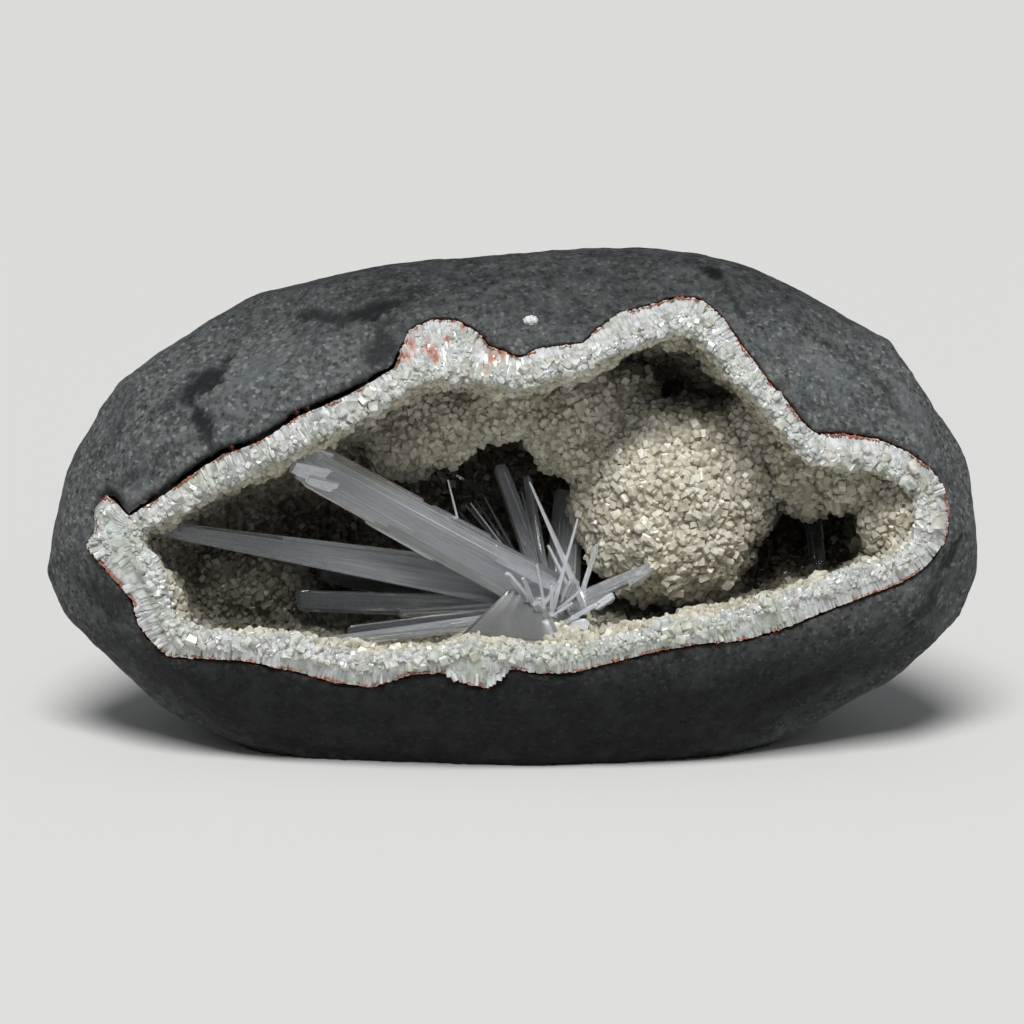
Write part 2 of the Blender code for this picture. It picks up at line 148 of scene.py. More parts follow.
def depthOf(tree, across, up):  # of the surface straight behind that place on the face
    hit = tree.ray_cast(onFace(across, up, face["before"]), into)
    return None if hit[0] is None else offFace(hit[0])[0][2]


def closestOn(curve, points):  # which point of the curve lies nearest to each
    return np.array([np.argmin(((curve - p) ** 2).sum(1)) for p in points])


def cloudBetween(starts, ends, shares):  # places on the crust along the way from each start to its end
    found = []
    for p, q in zip(starts, ends):
        for share in shares:
            spot = p + (q - p) * share
            depth = depthOf(crustTree, *spot)
            if depth is not None:
                found.append((*spot, depth))
    return np.array(found)


curveStep = 0.8  # mm
contactCurve = closedCurve(contactLine, curveStep)
mouthCurve = closedCurve(mouthLine, curveStep)
crustTree = treeOf(nodes["crystal_crust"].data)
middles = contactCurve[closestOn(contactCurve, mouthCurve)]
rimCloud = cloudBetween(mouthCurve, middles, (0.08, 0.35, 0.65, 0.92))
# the same from the contact inwards, which takes in the lobes that lie far from the inner edge
outerPoints = contactCurve[::2]
innerPoints = mouthCurve[closestOn(mouthCurve, outerPoints)]
paleCloud = np.concatenate([rimCloud, cloudBetween(outerPoints, innerPoints, np.linspace(0.04, 0.9, 6))])


def fromHex(code):  # sRGB hex to linear
    values = [int(code[i : i + 2], 16) / 255 for i in (1, 3, 5)]
    return (*[v / 12.92 if v <= 0.04045 else ((v + 0.055) / 1.055) ** 2.4 for v in values], 1)


def addNode(tree, kind, settings=None, links=None):
    made = tree.nodes.new("ShaderNode" + kind)
    for key, value in (settings or {}).items():
        if key.startswith("in:"):
            name = key[3:]
            made.inputs[int(name) if name.isdigit() else name].default_value = value
        elif key == "stops":
            ramp = made.color_ramp
            while len(ramp.elements) < len(value):
                ramp.elements.new(0.5)
            for stop, (place, colour) in zip(ramp.elements, value):
                stop.position = place
                stop.color = colour
        else:
            setattr(made, key, value)
    for name, source in (links or {}).items():
        tree.links.new(source, made.inputs[int(name) if name.isdigit() else name])
    return made


def newMaterial(name):
    made = bpy.data.materials.new(name)
    made.use_nodes = True
    made.node_tree.nodes.clear()
    return made, made.node_tree


def mixColours(tree, share, first, second, blend="MIX"):
    made = addNode(tree, "Mix", {"data_type": "RGBA", "blend_type": blend})
    for slot, value in ((0, share), (6, first), (7, second)):
        if isinstance(value, bpy.types.NodeSocket):
            tree.links.new(value, made.inputs[slot])
        else:
            made.inputs[slot].default_value = value
    return made.outputs[2]


def wobbled(tree, place, wobble, amount):  # the place moved by up to that amount, for ragged edges
    settings = {"operation": "MULTIPLY_ADD", "in:1": (amount,) * 3}
    return addNode(tree, "VectorMath", settings, {"0": wobble, "2": place}).outputs[0]


def objectSpot(tree):
    return addNode(tree, "TexCoord").outputs["Object"]


def noiseOf(tree, spot, span, detail, roughness=0.5):
    settings = {"in:Scale": 1 / span, "in:Detail": detail, "in:Roughness": roughness}
    return addNode(tree, "TexNoise", settings, {"Vector": spot})


def cellsOf(tree, spot, span):
    return addNode(tree, "TexVoronoi", {"in:Scale": 1 / span}, {"Vector": spot})


def bumpOf(tree, height, strength, distance):
    settings = {"in:Strength": strength, "in:Distance": distance}
    return addNode(tree, "Bump", settings, {"Height": height}).outputs[0]


def shadeWith(tree, settings, links=None):  # ends a material with its shader and output
    settings = {"in:" + key: value for key, value in settings.items()}
    shader = addNode(tree, "BsdfPrincipled", settings, links)
    addNode(tree, "OutputMaterial", None, {"Surface": shader.outputs[0]})


def attribute(tree, name):
    return addNode(tree, "Attribute", {"attribute_name": name}).outputs["Fac"]


def rampOf(tree, source, stops):
    stops = [(place, (v, v, v, 1) if isinstance(v, (int, float)) else v) for place, v in stops]
    return addNode(tree, "ValToRGB", {"stops": stops}, {"Fac": source}).outputs["Color"]


def setAttribute(mesh, name, values):
    layer = mesh.attributes.new(name, "FLOAT", "POINT")
    layer.data.foreach_set("value", np.asarray(values, np.float32))


def linked(name, data):  # a new object in the scene
    obj = bpy.data.objects.new(name, data)
    bpy.context.scene.collection.objects.link(obj)
    return obj


def objectOf(bm, name):
    mesh = bpy.data.meshes.new(name)
    bm.to_mesh(mesh)
    bm.free()
    return linked(name, mesh)


def moveTo(mesh, co):
    mesh.vertices.foreach_set("co", np.asarray(co, np.float32).ravel())
    mesh.update()


def dress(mesh, *materials):
    mesh.materials.clear()
    for material in materials:
        mesh.materials.append(material)


def swollenBall(divisions, centre, half, swells):  # an uneven ball, with the size and fineness of each swell
    bm = bmesh.new()
    bmesh.ops.create_icosphere(bm, subdivisions=divisions, radius=1)
    for vert in bm.verts:
        swell = 1 + sum(size * noise.noise(vert.co * fineness) for size, fineness in swells)
        vert.co = Vector(a * b * swell for a, b in zip(vert.co, half)) + Vector(centre)
    return bm


def meshObject(name, verts, tris):
    mesh = bpy.data.meshes.new(name)
    mesh.vertices.add(len(verts))
    mesh.vertices.foreach_set("co", np.asarray(verts, np.float32).ravel())
    mesh.loops.add(len(tris) * 3)
    mesh.loops.foreach_set("vertex_index", np.asarray(tris, np.int32).ravel())
    mesh.polygons.add(len(tris))
    mesh.polygons.foreach_set("loop_start", np.arange(len(tris), dtype=np.int32) * 3)
    mesh.update(calc_edges=True)
    mesh.shade_flat()
    return linked(name, mesh)


def remeshed(node, name, voxel):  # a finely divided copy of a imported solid
    obj = linked(name, nodes[node].data.copy())
    weld = obj.modifiers.new("weld", "WELD")
    weld.merge_threshold = 1e-6
    fine = obj.modifiers.new("fine", "REMESH")
    fine.mode = "VOXEL"
    fine.voxel_size = voxel
    graph = bpy.context.evaluated_depsgraph_get()
    mesh = bpy.data.meshes.new_from_object(obj.evaluated_get(graph))
    obj.modifiers.clear()
    obj.data = mesh
    return obj


def vertexArray(mesh, field="co"):
    out = np.empty(len(mesh.vertices) * 3, np.float32)
    if field == "co":
        mesh.vertices.foreach_get("co", out)
    else:
        mesh.vertex_normals.foreach_get("vector", out)
    return out.reshape(-1, 3).astype(float)


def rideAs(obj, node):
    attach(obj, "root")
    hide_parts(node)


def relax(mesh, passes, strength=0.5):  # evens out the mesh, each point towards the middle of its neighbours
    edges = np.empty(len(mesh.edges) * 2, np.int32)
    mesh.edges.foreach_get("vertices", edges)
    a, b = edges.reshape(-1, 2).T
    co = vertexArray(mesh)
    count = np.bincount(a, minlength=len(co)) + np.bincount(b, minlength=len(co))
    for _ in range(passes):
        total = np.zeros_like(co)
        for axis in range(3):
            total[:, axis] = np.bincount(a, co[b, axis], len(co)) + np.bincount(b, co[a, axis], len(co))
        co += (total / count[:, None] - co) * strength
    moveTo(mesh, co)
    return co


def fieldNoise(points, span, seed, octaves=1):  # smooth noise of about that span in mm, one value a point
    shift = Vector((seed * 17.3, seed * 5.1, seed * 9.7))
    out = np.empty(len(points))
    for i, p in enumerate(points):
        q = Vector(p) / (span * mm) + shift
        out[i] = noise.noise(q) if octaves == 1 else noise.fractal(q, 0.5, 2.0, octaves)
    return out


def smoothStep(low, high, values):
    t = np.clip((values - low) / (high - low), 0, 1)
    return t * t * (3 - 2 * t)


# Basalt: fine-grained lava, hewn to shape and left matt, so it shows a mid grey speckled with dark and pale
# grains of about a millimetre, dull all over; painted shade darkens its colour low on the front and along the
# crown
basalt = {
    "voxel": 1.6,  # mm
    "grey": "#5f6160",
    "greyDark": "#404241",
    "greyBlue": "#53585a",
    "fleck": "#858787",
    "fleckDark": "#2c2e2e",
    "pit": "#1f2122",
    "pitSpacing": 4.2,  # mm between the small dark pits
    # dark colour of the smears, also used for painted shade along the crust
    "smear": "#17181a",
    "dust": "#7f8282",
    "rust": "#6b3a2a",
    "darkestPaintedShade": "#5a5a5d",  # painted shade: multiplies the colour where the stone is darkest
    "front": 45,  # mm deep, as far back as the marks on the stone reach
    "brink": 4.6,  # mm from the crust that the broken edge reaches
    "calm": 2.5,  # mm from the crust where the hewing is even
    "footLevel": 0.8,  # mm up to which the foot is cut flat
    "grain": 1.1,  # mm across one grain
    "patch": 16,  # mm across a paler or bluer patch
    "swell": 0.5,  # mm of unevenness left by the hewing
    "swellSpan": 15,
    "ripple": 0.16,
    "rippleSpan": 3.5,
    "shade": (24, 68),  # mm above the floor of the painted shade: below the first the stone is painted darkest, above the second palest
}

# Dark chips and smears on the stone: across, up, half length, half width, bearing, how dark, how deep in mm
smears = [
    (-97, 40, 9, 3.6, 35, 0.95, 0.7), (-108, 33, 10, 2.2, 35, 0.6, 0.4), (-98, 26, 9, 3.2, -58, 0.95, 0.7),
    (-60, 60, 12, 2.2, -8, 0.75, 0.5), (-44, 62, 12, 2.6, 18, 0.95, 0.8), (-42, 50, 9, 4.4, 75, 0.8, 0.6),
    (-100, 58, 12, 1.8, 25, 0.9, 0.5), (64, 75, 4, 2.6, -35, 0.95, 0.7), (69, 68, 9, 1.2, -58, 0.7, 0.4),
    (121, 34, 16, 1.6, -52, 0.55, 0.4), (-128, -30, 12, 5, -30, 0.6, 0.3), (-118, 10, 8, 1.8, 30, 0.5, 0.3),
    (135, -30, 10, 3, 40, 0.7, 0.4), (-35, 68, 10, 1.5, 10, 0.4, 0.2), (-112, 16, 7, 1.2, 40, 0.5, 0.2),
    (30, -76, 24, 2, 4, 0.4, 0.3), (-70, -76, 20, 2, -12, 0.5, 0.3), (20, 74, 16, 1.6, 3, 0.3, 0.2),
    (142, -16, 10, 3, 55, 0.85, 0.4), (100, 52, 12, 1.4, -35, 0.35, 0.2), (-128, 22, 9, 1.6, 55, 0.4, 0.2),
    (90, -58, 16, 2, 25, 0.45, 0.3),
]

# Pale scratches and specks, and one patch of painted light: across, up, half length, half width, bearing, how
# pale
scratches = [
    (-141, 3, 2, 1.2, 20, 0.6), (-112, -61, 5, 0.9, -30, 0.8), (-93, -58, 3, 0.8, -20, 0.4),
    (-145, 10, 1.4, 0.8, 60, 0.5), (-52, -62, 2.4, 1.0, 30, 0.4), (-16, -63, 1.6, 0.8, 0, 0.4),
    # the wide pale patch at (143, -29) is painted light on the lower right facet, not a scratch
    (96, -56, 2, 0.8, 10, 0.3), (38, -70, 2, 0.8, -10, 0.3), (143, -29, 8, 5, 70, 0.8),
    (128, 28, 15, 6, -55, 0.25), (-78, 46, 17, 6, 30, 0.2), (98, 44, 15, 6, -40, 0.2),
    (-122, 0, 9, 4, 40, 0.2),
    (-77, -61, 3, 1.6, -20, 0.55), (-40, -64, 2.5, 1.2, 20, 0.4), (-16, -71, 3.5, 1.4, -15, 0.4),
    (-60, -66, 2, 0.9, 10, 0.4), (4, -63, 2, 0.9, 30, 0.35), (58, -58, 3, 1.2, 15, 0.35),
    (-100, -66, 3, 1, -30, 0.4),
]


def smearMask(places, across, up, long, wide, bearing, seed):
    turn = math.radians(bearing)
    dx, dy = places[:, 0] - across, places[:, 1] - up
    near = (abs(dx) < 2 * long + 4) & (abs(dy) < 2 * long + 4)
    out = np.zeros(len(places))
    along = dx[near] * math.cos(turn) + dy[near] * math.sin(turn)
    side = -dx[near] * math.sin(turn) + dy[near] * math.cos(turn)
    ragged = fieldNoise(places[near] * mm, 4, seed, 3) * 0.7
    out[near] = smoothStep(1.25, 0.55, np.hypot(along / long, side / wide) + ragged)
    return out


def makeBasaltMaterial():
    made, tree = newMaterial("basaltHewn")
    spot = objectSpot(tree)
    grain = cellsOf(tree, spot, basalt["grain"] * mm).outputs["Color"]
    cell = addNode(tree, "SeparateColor", None, {"Color": grain}).outputs[0]
    fine = noiseOf(tree, spot, 2.2 * basalt["grain"] * mm, 4, 0.7)
    coarse = noiseOf(tree, spot, basalt["patch"] * mm, 3, 0.6)
    ragged = wobbled(tree, spot, fine.outputs["Color"], 0.0022)
    pits = cellsOf(tree, ragged, basalt["pitSpacing"] * mm).outputs["Distance"]
    patch = rampOf(tree, coarse.outputs[0], [(0.38, 0.0), (0.62, 1.0)])
    body = mixColours(tree, patch, fromHex(basalt["grey"]), fromHex(basalt["greyBlue"]))
    for share, colour in (
        (rampOf(tree, fine.outputs[0], [(0.42, 1.0), (0.56, 0.0)]), "greyDark"),
        (rampOf(tree, cell, [(0.84, 0.0), (0.9, 0.6)]), "fleckDark"),
        (rampOf(tree, cell, [(0.05, 0.5), (0.12, 0.0)]), "fleck"),
        (rampOf(tree, pits, [(0.12, 0.75), (0.24, 0.0)]), "pit"),
        (attribute(tree, "dust"), "dust"),
        (attribute(tree, "smear"), "smear"),
    ):
        body = mixColours(tree, share, body, fromHex(basalt[colour]))
    # painted shade: the colour is multiplied darker low on the front and on the upward faces of the crown
    shade = rampOf(tree, attribute(tree, "shade"), [(0, fromHex(basalt["darkestPaintedShade"])), (1, 1.0)])
    body = mixColours(tree, 1.0, body, shade, "MULTIPLY")
    rust = mixColours(tree, attribute(tree, "rust"), body, fromHex(basalt["rust"]))
    rough = rampOf(tree, fine.outputs[0], [(0.3, 0.62), (0.7, 0.86)])
    settings = {"operation": "MULTIPLY_ADD", "in:1": 0.5}
    relief = addNode(tree, "Math", settings, {"0": cell, "2": fine.outputs[0]}).outputs[0]
    bump = bumpOf(tree, relief, 0.55, 0.0004)
    settings = {"IOR": 1.5, "Specular IOR Level": 0.18, "Metallic": 0.0}
    shadeWith(tree, settings, {"Base Color": rust, "Roughness": rough, "Normal": bump})
    return made


def makeBasalt():
    obj = remeshed("basalt_shell", "basaltStone", basalt["voxel"] * mm)
    mesh = obj.data
    co = relax(mesh, 1)
    normals = vertexArray(mesh, "normal")
    places = offFace(co)
    edge = distanceTo(contactCurve, places)
    front = places[:, 2] < basalt["front"]
    swell = fieldNoise(co, basalt["swellSpan"], 3, 2) * basalt["swell"]
    ripple = fieldNoise(co, basalt["rippleSpan"], 5, 3) * basalt["ripple"]
    smear = np.zeros(len(co))
    sunk = np.zeros(len(co))
    for seed, (across, up, long, wide, bearing, dark, deep) in enumerate(smears):
        mask = smearMask(places, across, up, long, wide, bearing, seed) * front
        smear = np.maximum(smear, mask * dark)
        sunk = np.maximum(sunk, mask * deep)
    # pale scratches and dust, with one patch of painted light on the lower right facet
    dust = np.zeros(len(co))
    for seed, (across, up, long, wide, bearing, pale) in enumerate(scratches):
        dust = np.maximum(dust, smearMask(places, across, up, long, wide, bearing, 40 + seed) * pale * front)
    # On the upper left the stone ends in a broken edge that faces down to the crust; the dark band there, and
    # the thin dark line along the rest of the contact, are painted shade
    brink = np.clip(1 - edge / basalt["brink"], 0, 1) * front
    upperLeft = smoothStep(-30, -44, places[:, 0]) * smoothStep(-6, 4, places[:, 1])
    smear = np.maximum(smear, smoothStep(0.12, 0.5, brink) * (0.12 + 0.83 * upperLeft))
    calm = np.clip(edge / basalt["calm"], 0.15, 1)
    height = swell * calm + ripple - sunk - brink * (0.4 + 2.0 * upperLeft)
    co += normals * (height * mm)[:, None]
    co[co[:, 2] < basalt["footLevel"] * mm, 2] = 0
    moveTo(mesh, co)
    # Rubbed, dusty grain along the crest of the stone, and some on its foot
    crest = smoothStep(0.62, 0.9, normals[:, 2]) * smoothStep(120, 150, co[:, 2] / mm)
    dust = np.maximum(dust, crest * np.clip(0.3 + fieldNoise(co, 5, 9, 3), 0, 0.7) * 0.3)
    foot = smoothStep(70, 20, co[:, 2] / mm)
    dust = np.maximum(dust, foot * np.clip(fieldNoise(co, 7, 10, 3), 0, 0.6) * 0.8)
    setAttribute(mesh, "smear", smear)
    setAttribute(mesh, "dust", dust)
    setAttribute(mesh, "rust", smoothStep(1.0, 0.3, edge) * 0.8 * front)
    # Painted shade: darker towards the floor on the front, and on the faces of the crown that look up
    low, high = basalt["shade"]
    crown = smoothStep(0.5, 0.95, normals[:, 2]) * smoothStep(118, 150, co[:, 2] / mm) * (1 - dust)
    footShadePainted = smoothStep(high * mm, low * mm, co[:, 2]) * smoothStep(75, 35, places[:, 2])
    setAttribute(mesh, "shade", (1 - footShadePainted) * (1 - 0.7 * crown))
    mesh.shade_smooth()
    dress(mesh, makeBasaltMaterial())
    rideAs(obj, "basalt_shell")


# Druse: zeolite crystals grown free in a gas hollow, glassy and faintly see-through, so they are a warm cream
# at their tips, browner in the gaps between them, partly as painted shade, whiter along the broken rim,
# and darkened with painted shade in the recesses
druse = {
    "voxel": 1.7,  # mm, of the layer that the crystals stand on
    "cream": "#d6d2c3",
    "creamDark": "#b9b3a1",
    # browner colour at the crystals' feet, partly their own and partly painted shade between them
    "gap": "#a0967f",
    "gapPale": "#9fa19b",
    # colour of the painted shade in the recesses
    "gloom": "#2c2717",
    "white": "#cdcfce",
    "whiteGreen": "#b6bdaf",
    "rust": "#a9552f",
    "veilSpan": 2.5,  # mm across the paler and darker clouds in the crystals
    "greenSpan": 11,  # mm across a greenish patch of the rim
    "spacing": 1.7,  # mm between crystals
    "spread": (0.7, 1.35),  # of the spacing
    "atRim": 0.72,  # of the spacing, where the crystals meet the broken rim
    "overlap": 1.5,  # a crystal's width to its spacing, so that neighbours grow into each other
    "tilt": 0.5,
    "lift": (-0.5, 0.5),  # mm that a crystal's foot lies off the layer
    "tries": 150000,
    "fromStone": 2.2,  # mm that the crystals' feet keep from the basalt
    "fromSpray": 0.8,
    "lobe": (-22, 51, 9.5),  # across, up and radius of the white lobe, which is lumpy all over
}

# Rust stains on the white lobe and the rim: across, up, radius
stains = [
    (-25.8, 49.3, 2.4), (-32, 50.5, 1.8), (-7, 46.4, 2.3), (-3.5, 48.5, 1.8), (-29, 55.5, 1.3),
    (-114, -49.6, 1.8), (-20.6, 52.8, 1.2), (-15, 57.5, 1.3), (-34, 47, 1.6), (-24, 46.5, 1.2),
    (-10.5, 50.5, 1.2),
]


def makeDruseMaterial():
    made, tree = newMaterial("zeoliteDruse")
    spot = objectSpot(tree)
    pale = attribute(tree, "pale")
    cloud = noiseOf(tree, spot, druse["veilSpan"] * mm, 3).outputs[0]
    patch = noiseOf(tree, spot, druse["greenSpan"] * mm, 2).outputs[0]
    body = mixColours(tree, attribute(tree, "tone"), fromHex(druse["creamDark"]), fromHex(druse["cream"]))
    green = rampOf(tree, patch, [(0.45, 0.0), (0.68, 0.8)])
    tinted = mixColours(tree, green, fromHex(druse["white"]), fromHex(druse["whiteGreen"]))
    body = mixColours(tree, pale, body, tinted)
    body = mixColours(tree, 1.0, body, rampOf(tree, cloud, [(0.34, 0.66), (0.6, 1.0)]), "MULTIPLY")
    # partly painted shade: the feet of the crystals, and the layer between them, are mixed towards a browner
    # colour
    gap = mixColours(tree, pale, fromHex(druse["gap"]), fromHex(druse["gapPale"]))
    body = mixColours(tree, rampOf(tree, attribute(tree, "rise"), [(0.0, 0.8), (0.6, 0.0)]), body, gap)
    # painted shade: the recesses and the upper left of the rim are darkened towards a dark brown
    for name in ("rust", "gloom"):
        body = mixColours(tree, attribute(tree, name), body, fromHex(druse[name]))
    settings = {
        "Roughness": 0.3,
        "IOR": 1.5,
        "Metallic": 0.0,
        "Subsurface Weight": 0.3,
        "Subsurface Radius": (1.0, 0.9, 0.72),
        "Subsurface Scale": 0.0012,
    }
    shadeWith(tree, settings, {"Base Color": body, "Normal": bumpOf(tree, cloud, 0.25, 0.0003)})
    return made


def stainAt(places):
    rust = np.zeros(len(places))
    for across, up, radius in stains:
        away = np.hypot(places[:, 0] - across, places[:, 1] - up) / radius
        ragged = fieldNoise(places * mm, 2.2, 22, 2)
        rust = np.maximum(rust, smoothStep(1.2, 0.4, away + ragged * 0.8) * 0.85)
    return rust * (places[:, 2] < 40)


def makeCrustBase(material):
    obj = remeshed("crystal_crust", "crustBase", druse["voxel"] * mm)
    mesh = obj.data
    relax(mesh, 3)
    co = vertexArray(mesh)
    normals = vertexArray(mesh, "normal")
    places = offFace(co)
    inner = smoothStep(4, 12, nearestIn(rimCloud, places))
    lumps = fieldNoise(co, 18, 35) * 2.4 + fieldNoise(co, 9, 33) * 2.0 + fieldNoise(co, 5, 34) * 1.7
    bumps = fieldNoise(co, 4.5, 31, 2) * 0.6 + lumps * inner
    co += normals * (bumps * mm)[:, None]
    moveTo(mesh, co)
    places = offFace(co)
    setAttribute(mesh, "tone", np.clip(0.5 + fieldNoise(co, 12, 32), 0, 1))
    pale = paleness(places)
    # partly painted shade: away from the rim the layer under the crystals takes the browner gap colour
    setAttribute(mesh, "rise", pale * 0.9)
    setAttribute(mesh, "pale", pale)
    # painted shade in the recesses
    setAttribute(mesh, "gloom", shadePaintedIn(places) * 0.9)
    setAttribute(mesh, "rust", stainAt(places))
    mesh.shade_smooth()
    dress(mesh, material)
    rideAs(obj, "crystal_crust")
    return obj


def paleness(places):  # 1 at the broken rim, fading into the hollow
    return smoothStep(6, 2, nearestIn(paleCloud, places))


def shadePaintedIn(places):  # 0 to 1, painted shade: how much darker the crystals are painted in the recesses, the left end and the back
    across, up, deep = places.T
    back = smoothStep(66, 92, deep)
    left = smoothStep(0, -30, across) * smoothStep(26, 48, deep) * 0.74
    left *= 1 - 0.95 * smoothStep(-62, -44, across) * smoothStep(6, 16, up) * smoothStep(72, 58, deep)
    topPocket = smoothStep(26, 36, up) * smoothStep(36, 62, deep) * smoothStep(24, 36, across) * 0.9
    rightPocket = smoothStep(70, 80, across) * smoothStep(118, 106, across) * smoothStep(12, 4, up)
    rightPocket *= smoothStep(46, 66, deep)
    under = smoothStep(-29, -34, up) * smoothStep(48, 62, deep) * smoothStep(30, 40, across)
    return np.clip(np.maximum.reduce([back, left, topPocket, rightPocket, under]), 0, 1)


def hullShape(points):  # a closed crystal round the given points: corners, triangles
    bm = bmesh.new()
    for p in points:
        bm.verts.new(p)
    made = bmesh.ops.convex_hull(bm, input=bm.verts)
    loose = [v for v in bm.verts if not v.link_faces]
    bmesh.ops.delete(bm, geom=loose, context="VERTS")
    bmesh.ops.triangulate(bm, faces=bm.faces)
    bmesh.ops.recalc_face_normals(bm, faces=bm.faces)
    bm.verts.index_update()
    verts = np.array([v.co[:] for v in bm.verts])
    tris = np.array([[v.index for v in f.verts] for f in bm.faces])
    bm.free()
    return verts, tris


def ringOf(half, level, sides=4, turn=0.0, squash=1.0):
    angles = [math.tau * (i + 0.5) / sides + turn for i in range(sides)]
    return [(math.cos(a) * half, math.sin(a) * half * squash, level) for a in angles]


def boxOf(half, low, high, shift=(0, 0)):
    signs = itertools.product((-1, 1), (-1, 1), (low, high))
    return [(x * half[0] + shift[0], y * half[1] + shift[1], z) for x, y, z in signs]


# Crystal habits, each about 1 across and standing on z = 0
habits = {
    "block": hullShape(boxOf((0.5, 0.42), -0.4, 0.38) + boxOf((0.38, 0.3), -0.4, 0.5)),
    "wedge": hullShape(boxOf((0.46, 0.5), -0.4, 0.22) + [(-0.4, 0.05, 0.56), (0.36, -0.05, 0.52)]),
    "leaning": hullShape(boxOf((0.42, 0.46), -0.4, 0.0) + boxOf((0.34, 0.4), 0.1, 0.46, (0.16, 0.1))),
    "bead": hullShape(ringOf(0.45, -0.3, 5) + ringOf(0.56, 0.08, 6) + ringOf(0.34, 0.46, 5, 0.4)),
    "point": hullShape(ringOf(0.44, -0.4, 6) + ringOf(0.46, 0.5, 6) + ringOf(0.16, 0.86, 3, 0.3)),
    "column": hullShape(ringOf(0.47, 0.0, 6) + ringOf(0.5, 0.86, 6) + ringOf(0.3, 1.0, 6)),
}


def copyHabit(habit, origins, axes, sizes, stretches, dice):
    # one crystal at each origin along its axis, turned at random: corners, triangles, rise of each corner
    verts, tris = habits[habit]
    count = len(origins)
    side = np.cross(axes, dice.normal(size=(count, 3)))
    side /= np.linalg.norm(side, axis=1)[:, None]
    third = np.cross(axes, side)
    wide = sizes * dice.uniform(0.8, 1.25, count)
    thick = sizes * dice.uniform(0.8, 1.25, count)
    tall = sizes * stretches
    placed = (
        origins[:, None]
        + verts[None, :, 0, None] * (side * wide[:, None])[:, None]
        + verts[None, :, 1, None] * (third * thick[:, None])[:, None]
        + verts[None, :, 2, None] * (axes * tall[:, None])[:, None]
    )
    faces = tris[None] + (np.arange(count) * len(verts))[:, None, None]
    low, high = verts[:, 2].min(), verts[:, 2].max()
    rise = np.tile((verts[:, 2] - low) / (high - low), count)
    return placed.reshape(-1, 3), faces.reshape(-1, 3), rise, np.repeat(np.arange(count), len(verts))


def spreadOut(points, gaps):  # keeps the points that stand at least their gap from those kept before
    around = list(itertools.product((-1, 0, 1), repeat=3))
    grid = {}
    kept = []
    keys = np.floor(points / gaps.max()).astype(int)
    for i, ((x, y, z), p) in enumerate(zip(keys.tolist(), points.tolist())):
        least = gaps[i] ** 2
        near = (q for dx, dy, dz in around for q in grid.get((x + dx, y + dy, z + dz), ()))
        if all((p[0] - q[0]) ** 2 + (p[1] - q[1]) ** 2 + (p[2] - q[2]) ** 2 >= least for q in near):
            kept.append(i)
            grid.setdefault((x, y, z), []).append(p)
    return np.array(kept)


def surfaceSamples(mesh, count, dice):
    mesh.calc_loop_triangles()
    tris = np.empty(len(mesh.loop_triangles) * 3, np.int32)
    mesh.loop_triangles.foreach_get("vertices", tris)
    tris = tris.reshape(-1, 3)
    co = vertexArray(mesh)
    normals = vertexArray(mesh, "normal")
    a, b, c = (co[tris[:, k]] for k in range(3))
    area = np.linalg.norm(np.cross(b - a, c - a), axis=1)
    picked = dice.choice(len(tris), count, p=area / area.sum())
    u, v = dice.random(count), dice.random(count)
    flip = u + v > 1
    u[flip], v[flip] = 1 - u[flip], 1 - v[flip]
    points = a[picked] + (b - a)[picked] * u[:, None] + (c - a)[picked] * v[:, None]
    out = normals[tris[picked]].mean(1)
    return points, out / np.linalg.norm(out, axis=1)[:, None]


def growDruse(base, material):
    dice = np.random.default_rng(7)
    points, normals = surfaceSamples(base.data, druse["tries"], dice)
    places = offFace(points)
    # the flat of the broken rim has its own columns, and takes only small crystals along its inner edge
    outward = normals @ np.array(-into)
    outside = ~insideMouth(places)
    flat = outside & (outward > 0.45) & (nearestIn(rimCloud, places) < 7)
    lobe = np.hypot(places[:, 0] - druse["lobe"][0], places[:, 1] - druse["lobe"][1]) < druse["lobe"][2]
    free = ~flat | lobe | (distanceTo(mouthCurve, places) < 1.8)
    points, normals, places = points[free], normals[free], places[free]
    stoneTree = treeOf(nodes["basalt_shell"].data)
    sprayTree = treeOf(nodes["scolecite_spray"].data)
    keep = []
    for p in points:
        buried = stoneTree.find_nearest(Vector(p), druse["fromStone"] * mm)[0] is not None
        keep.append(not buried and sprayTree.find_nearest(Vector(p), druse["fromSpray"] * mm)[0] is None)
    keep = np.array(keep)
    points, normals, places = points[keep], normals[keep], places[keep]
    pale = paleness(places)
    gaps = druse["spacing"] * mm * dice.uniform(*druse["spread"], len(points))
    gaps *= 1 - (1 - druse["atRim"]) * pale
    kept = spreadOut(points, gaps)
    points, normals, places, gaps, pale = (a[kept] for a in (points, normals, places, gaps, pale))
    count = len(points)
    axes = normals + dice.normal(scale=druse["tilt"], size=(count, 3))
    axes /= np.linalg.norm(axes, axis=1)[:, None]
    sizes = gaps * druse["overlap"]
    stretches = dice.uniform(0.62, 1.3, count)
    tone = np.clip(dice.normal(0.62, 0.26, count) + fieldNoise(points, 7, 41, 2) * 0.7, 0, 1)
    points += normals * (dice.uniform(*druse["lift"], count) * (1 - pale) * mm)[:, None]
    # painted shade in the recesses
    gloom = shadePaintedIn(places) * dice.uniform(0.8, 1.0, count)
    pick = dice.random(count)
    kinds = np.select([pick < 0.34, pick < 0.62, pick < 0.88], ["block", "wedge", "leaning"], "bead")
    kinds = np.where(dice.random(count) < 0.1, "point", kinds)
    sectors = {
        "druseLeft": places[:, 0] < -12,
        "druseMiddle": (places[:, 0] >= -12) & (places[:, 0] < 58),
        "druseRight": places[:, 0] >= 58,
    }
    values = {"tone": tone, "pale": pale, "gloom": gloom}
    for name, inside in sectors.items():
        addCrystals(name, inside, kinds, points, axes, sizes, stretches, values, dice, material)


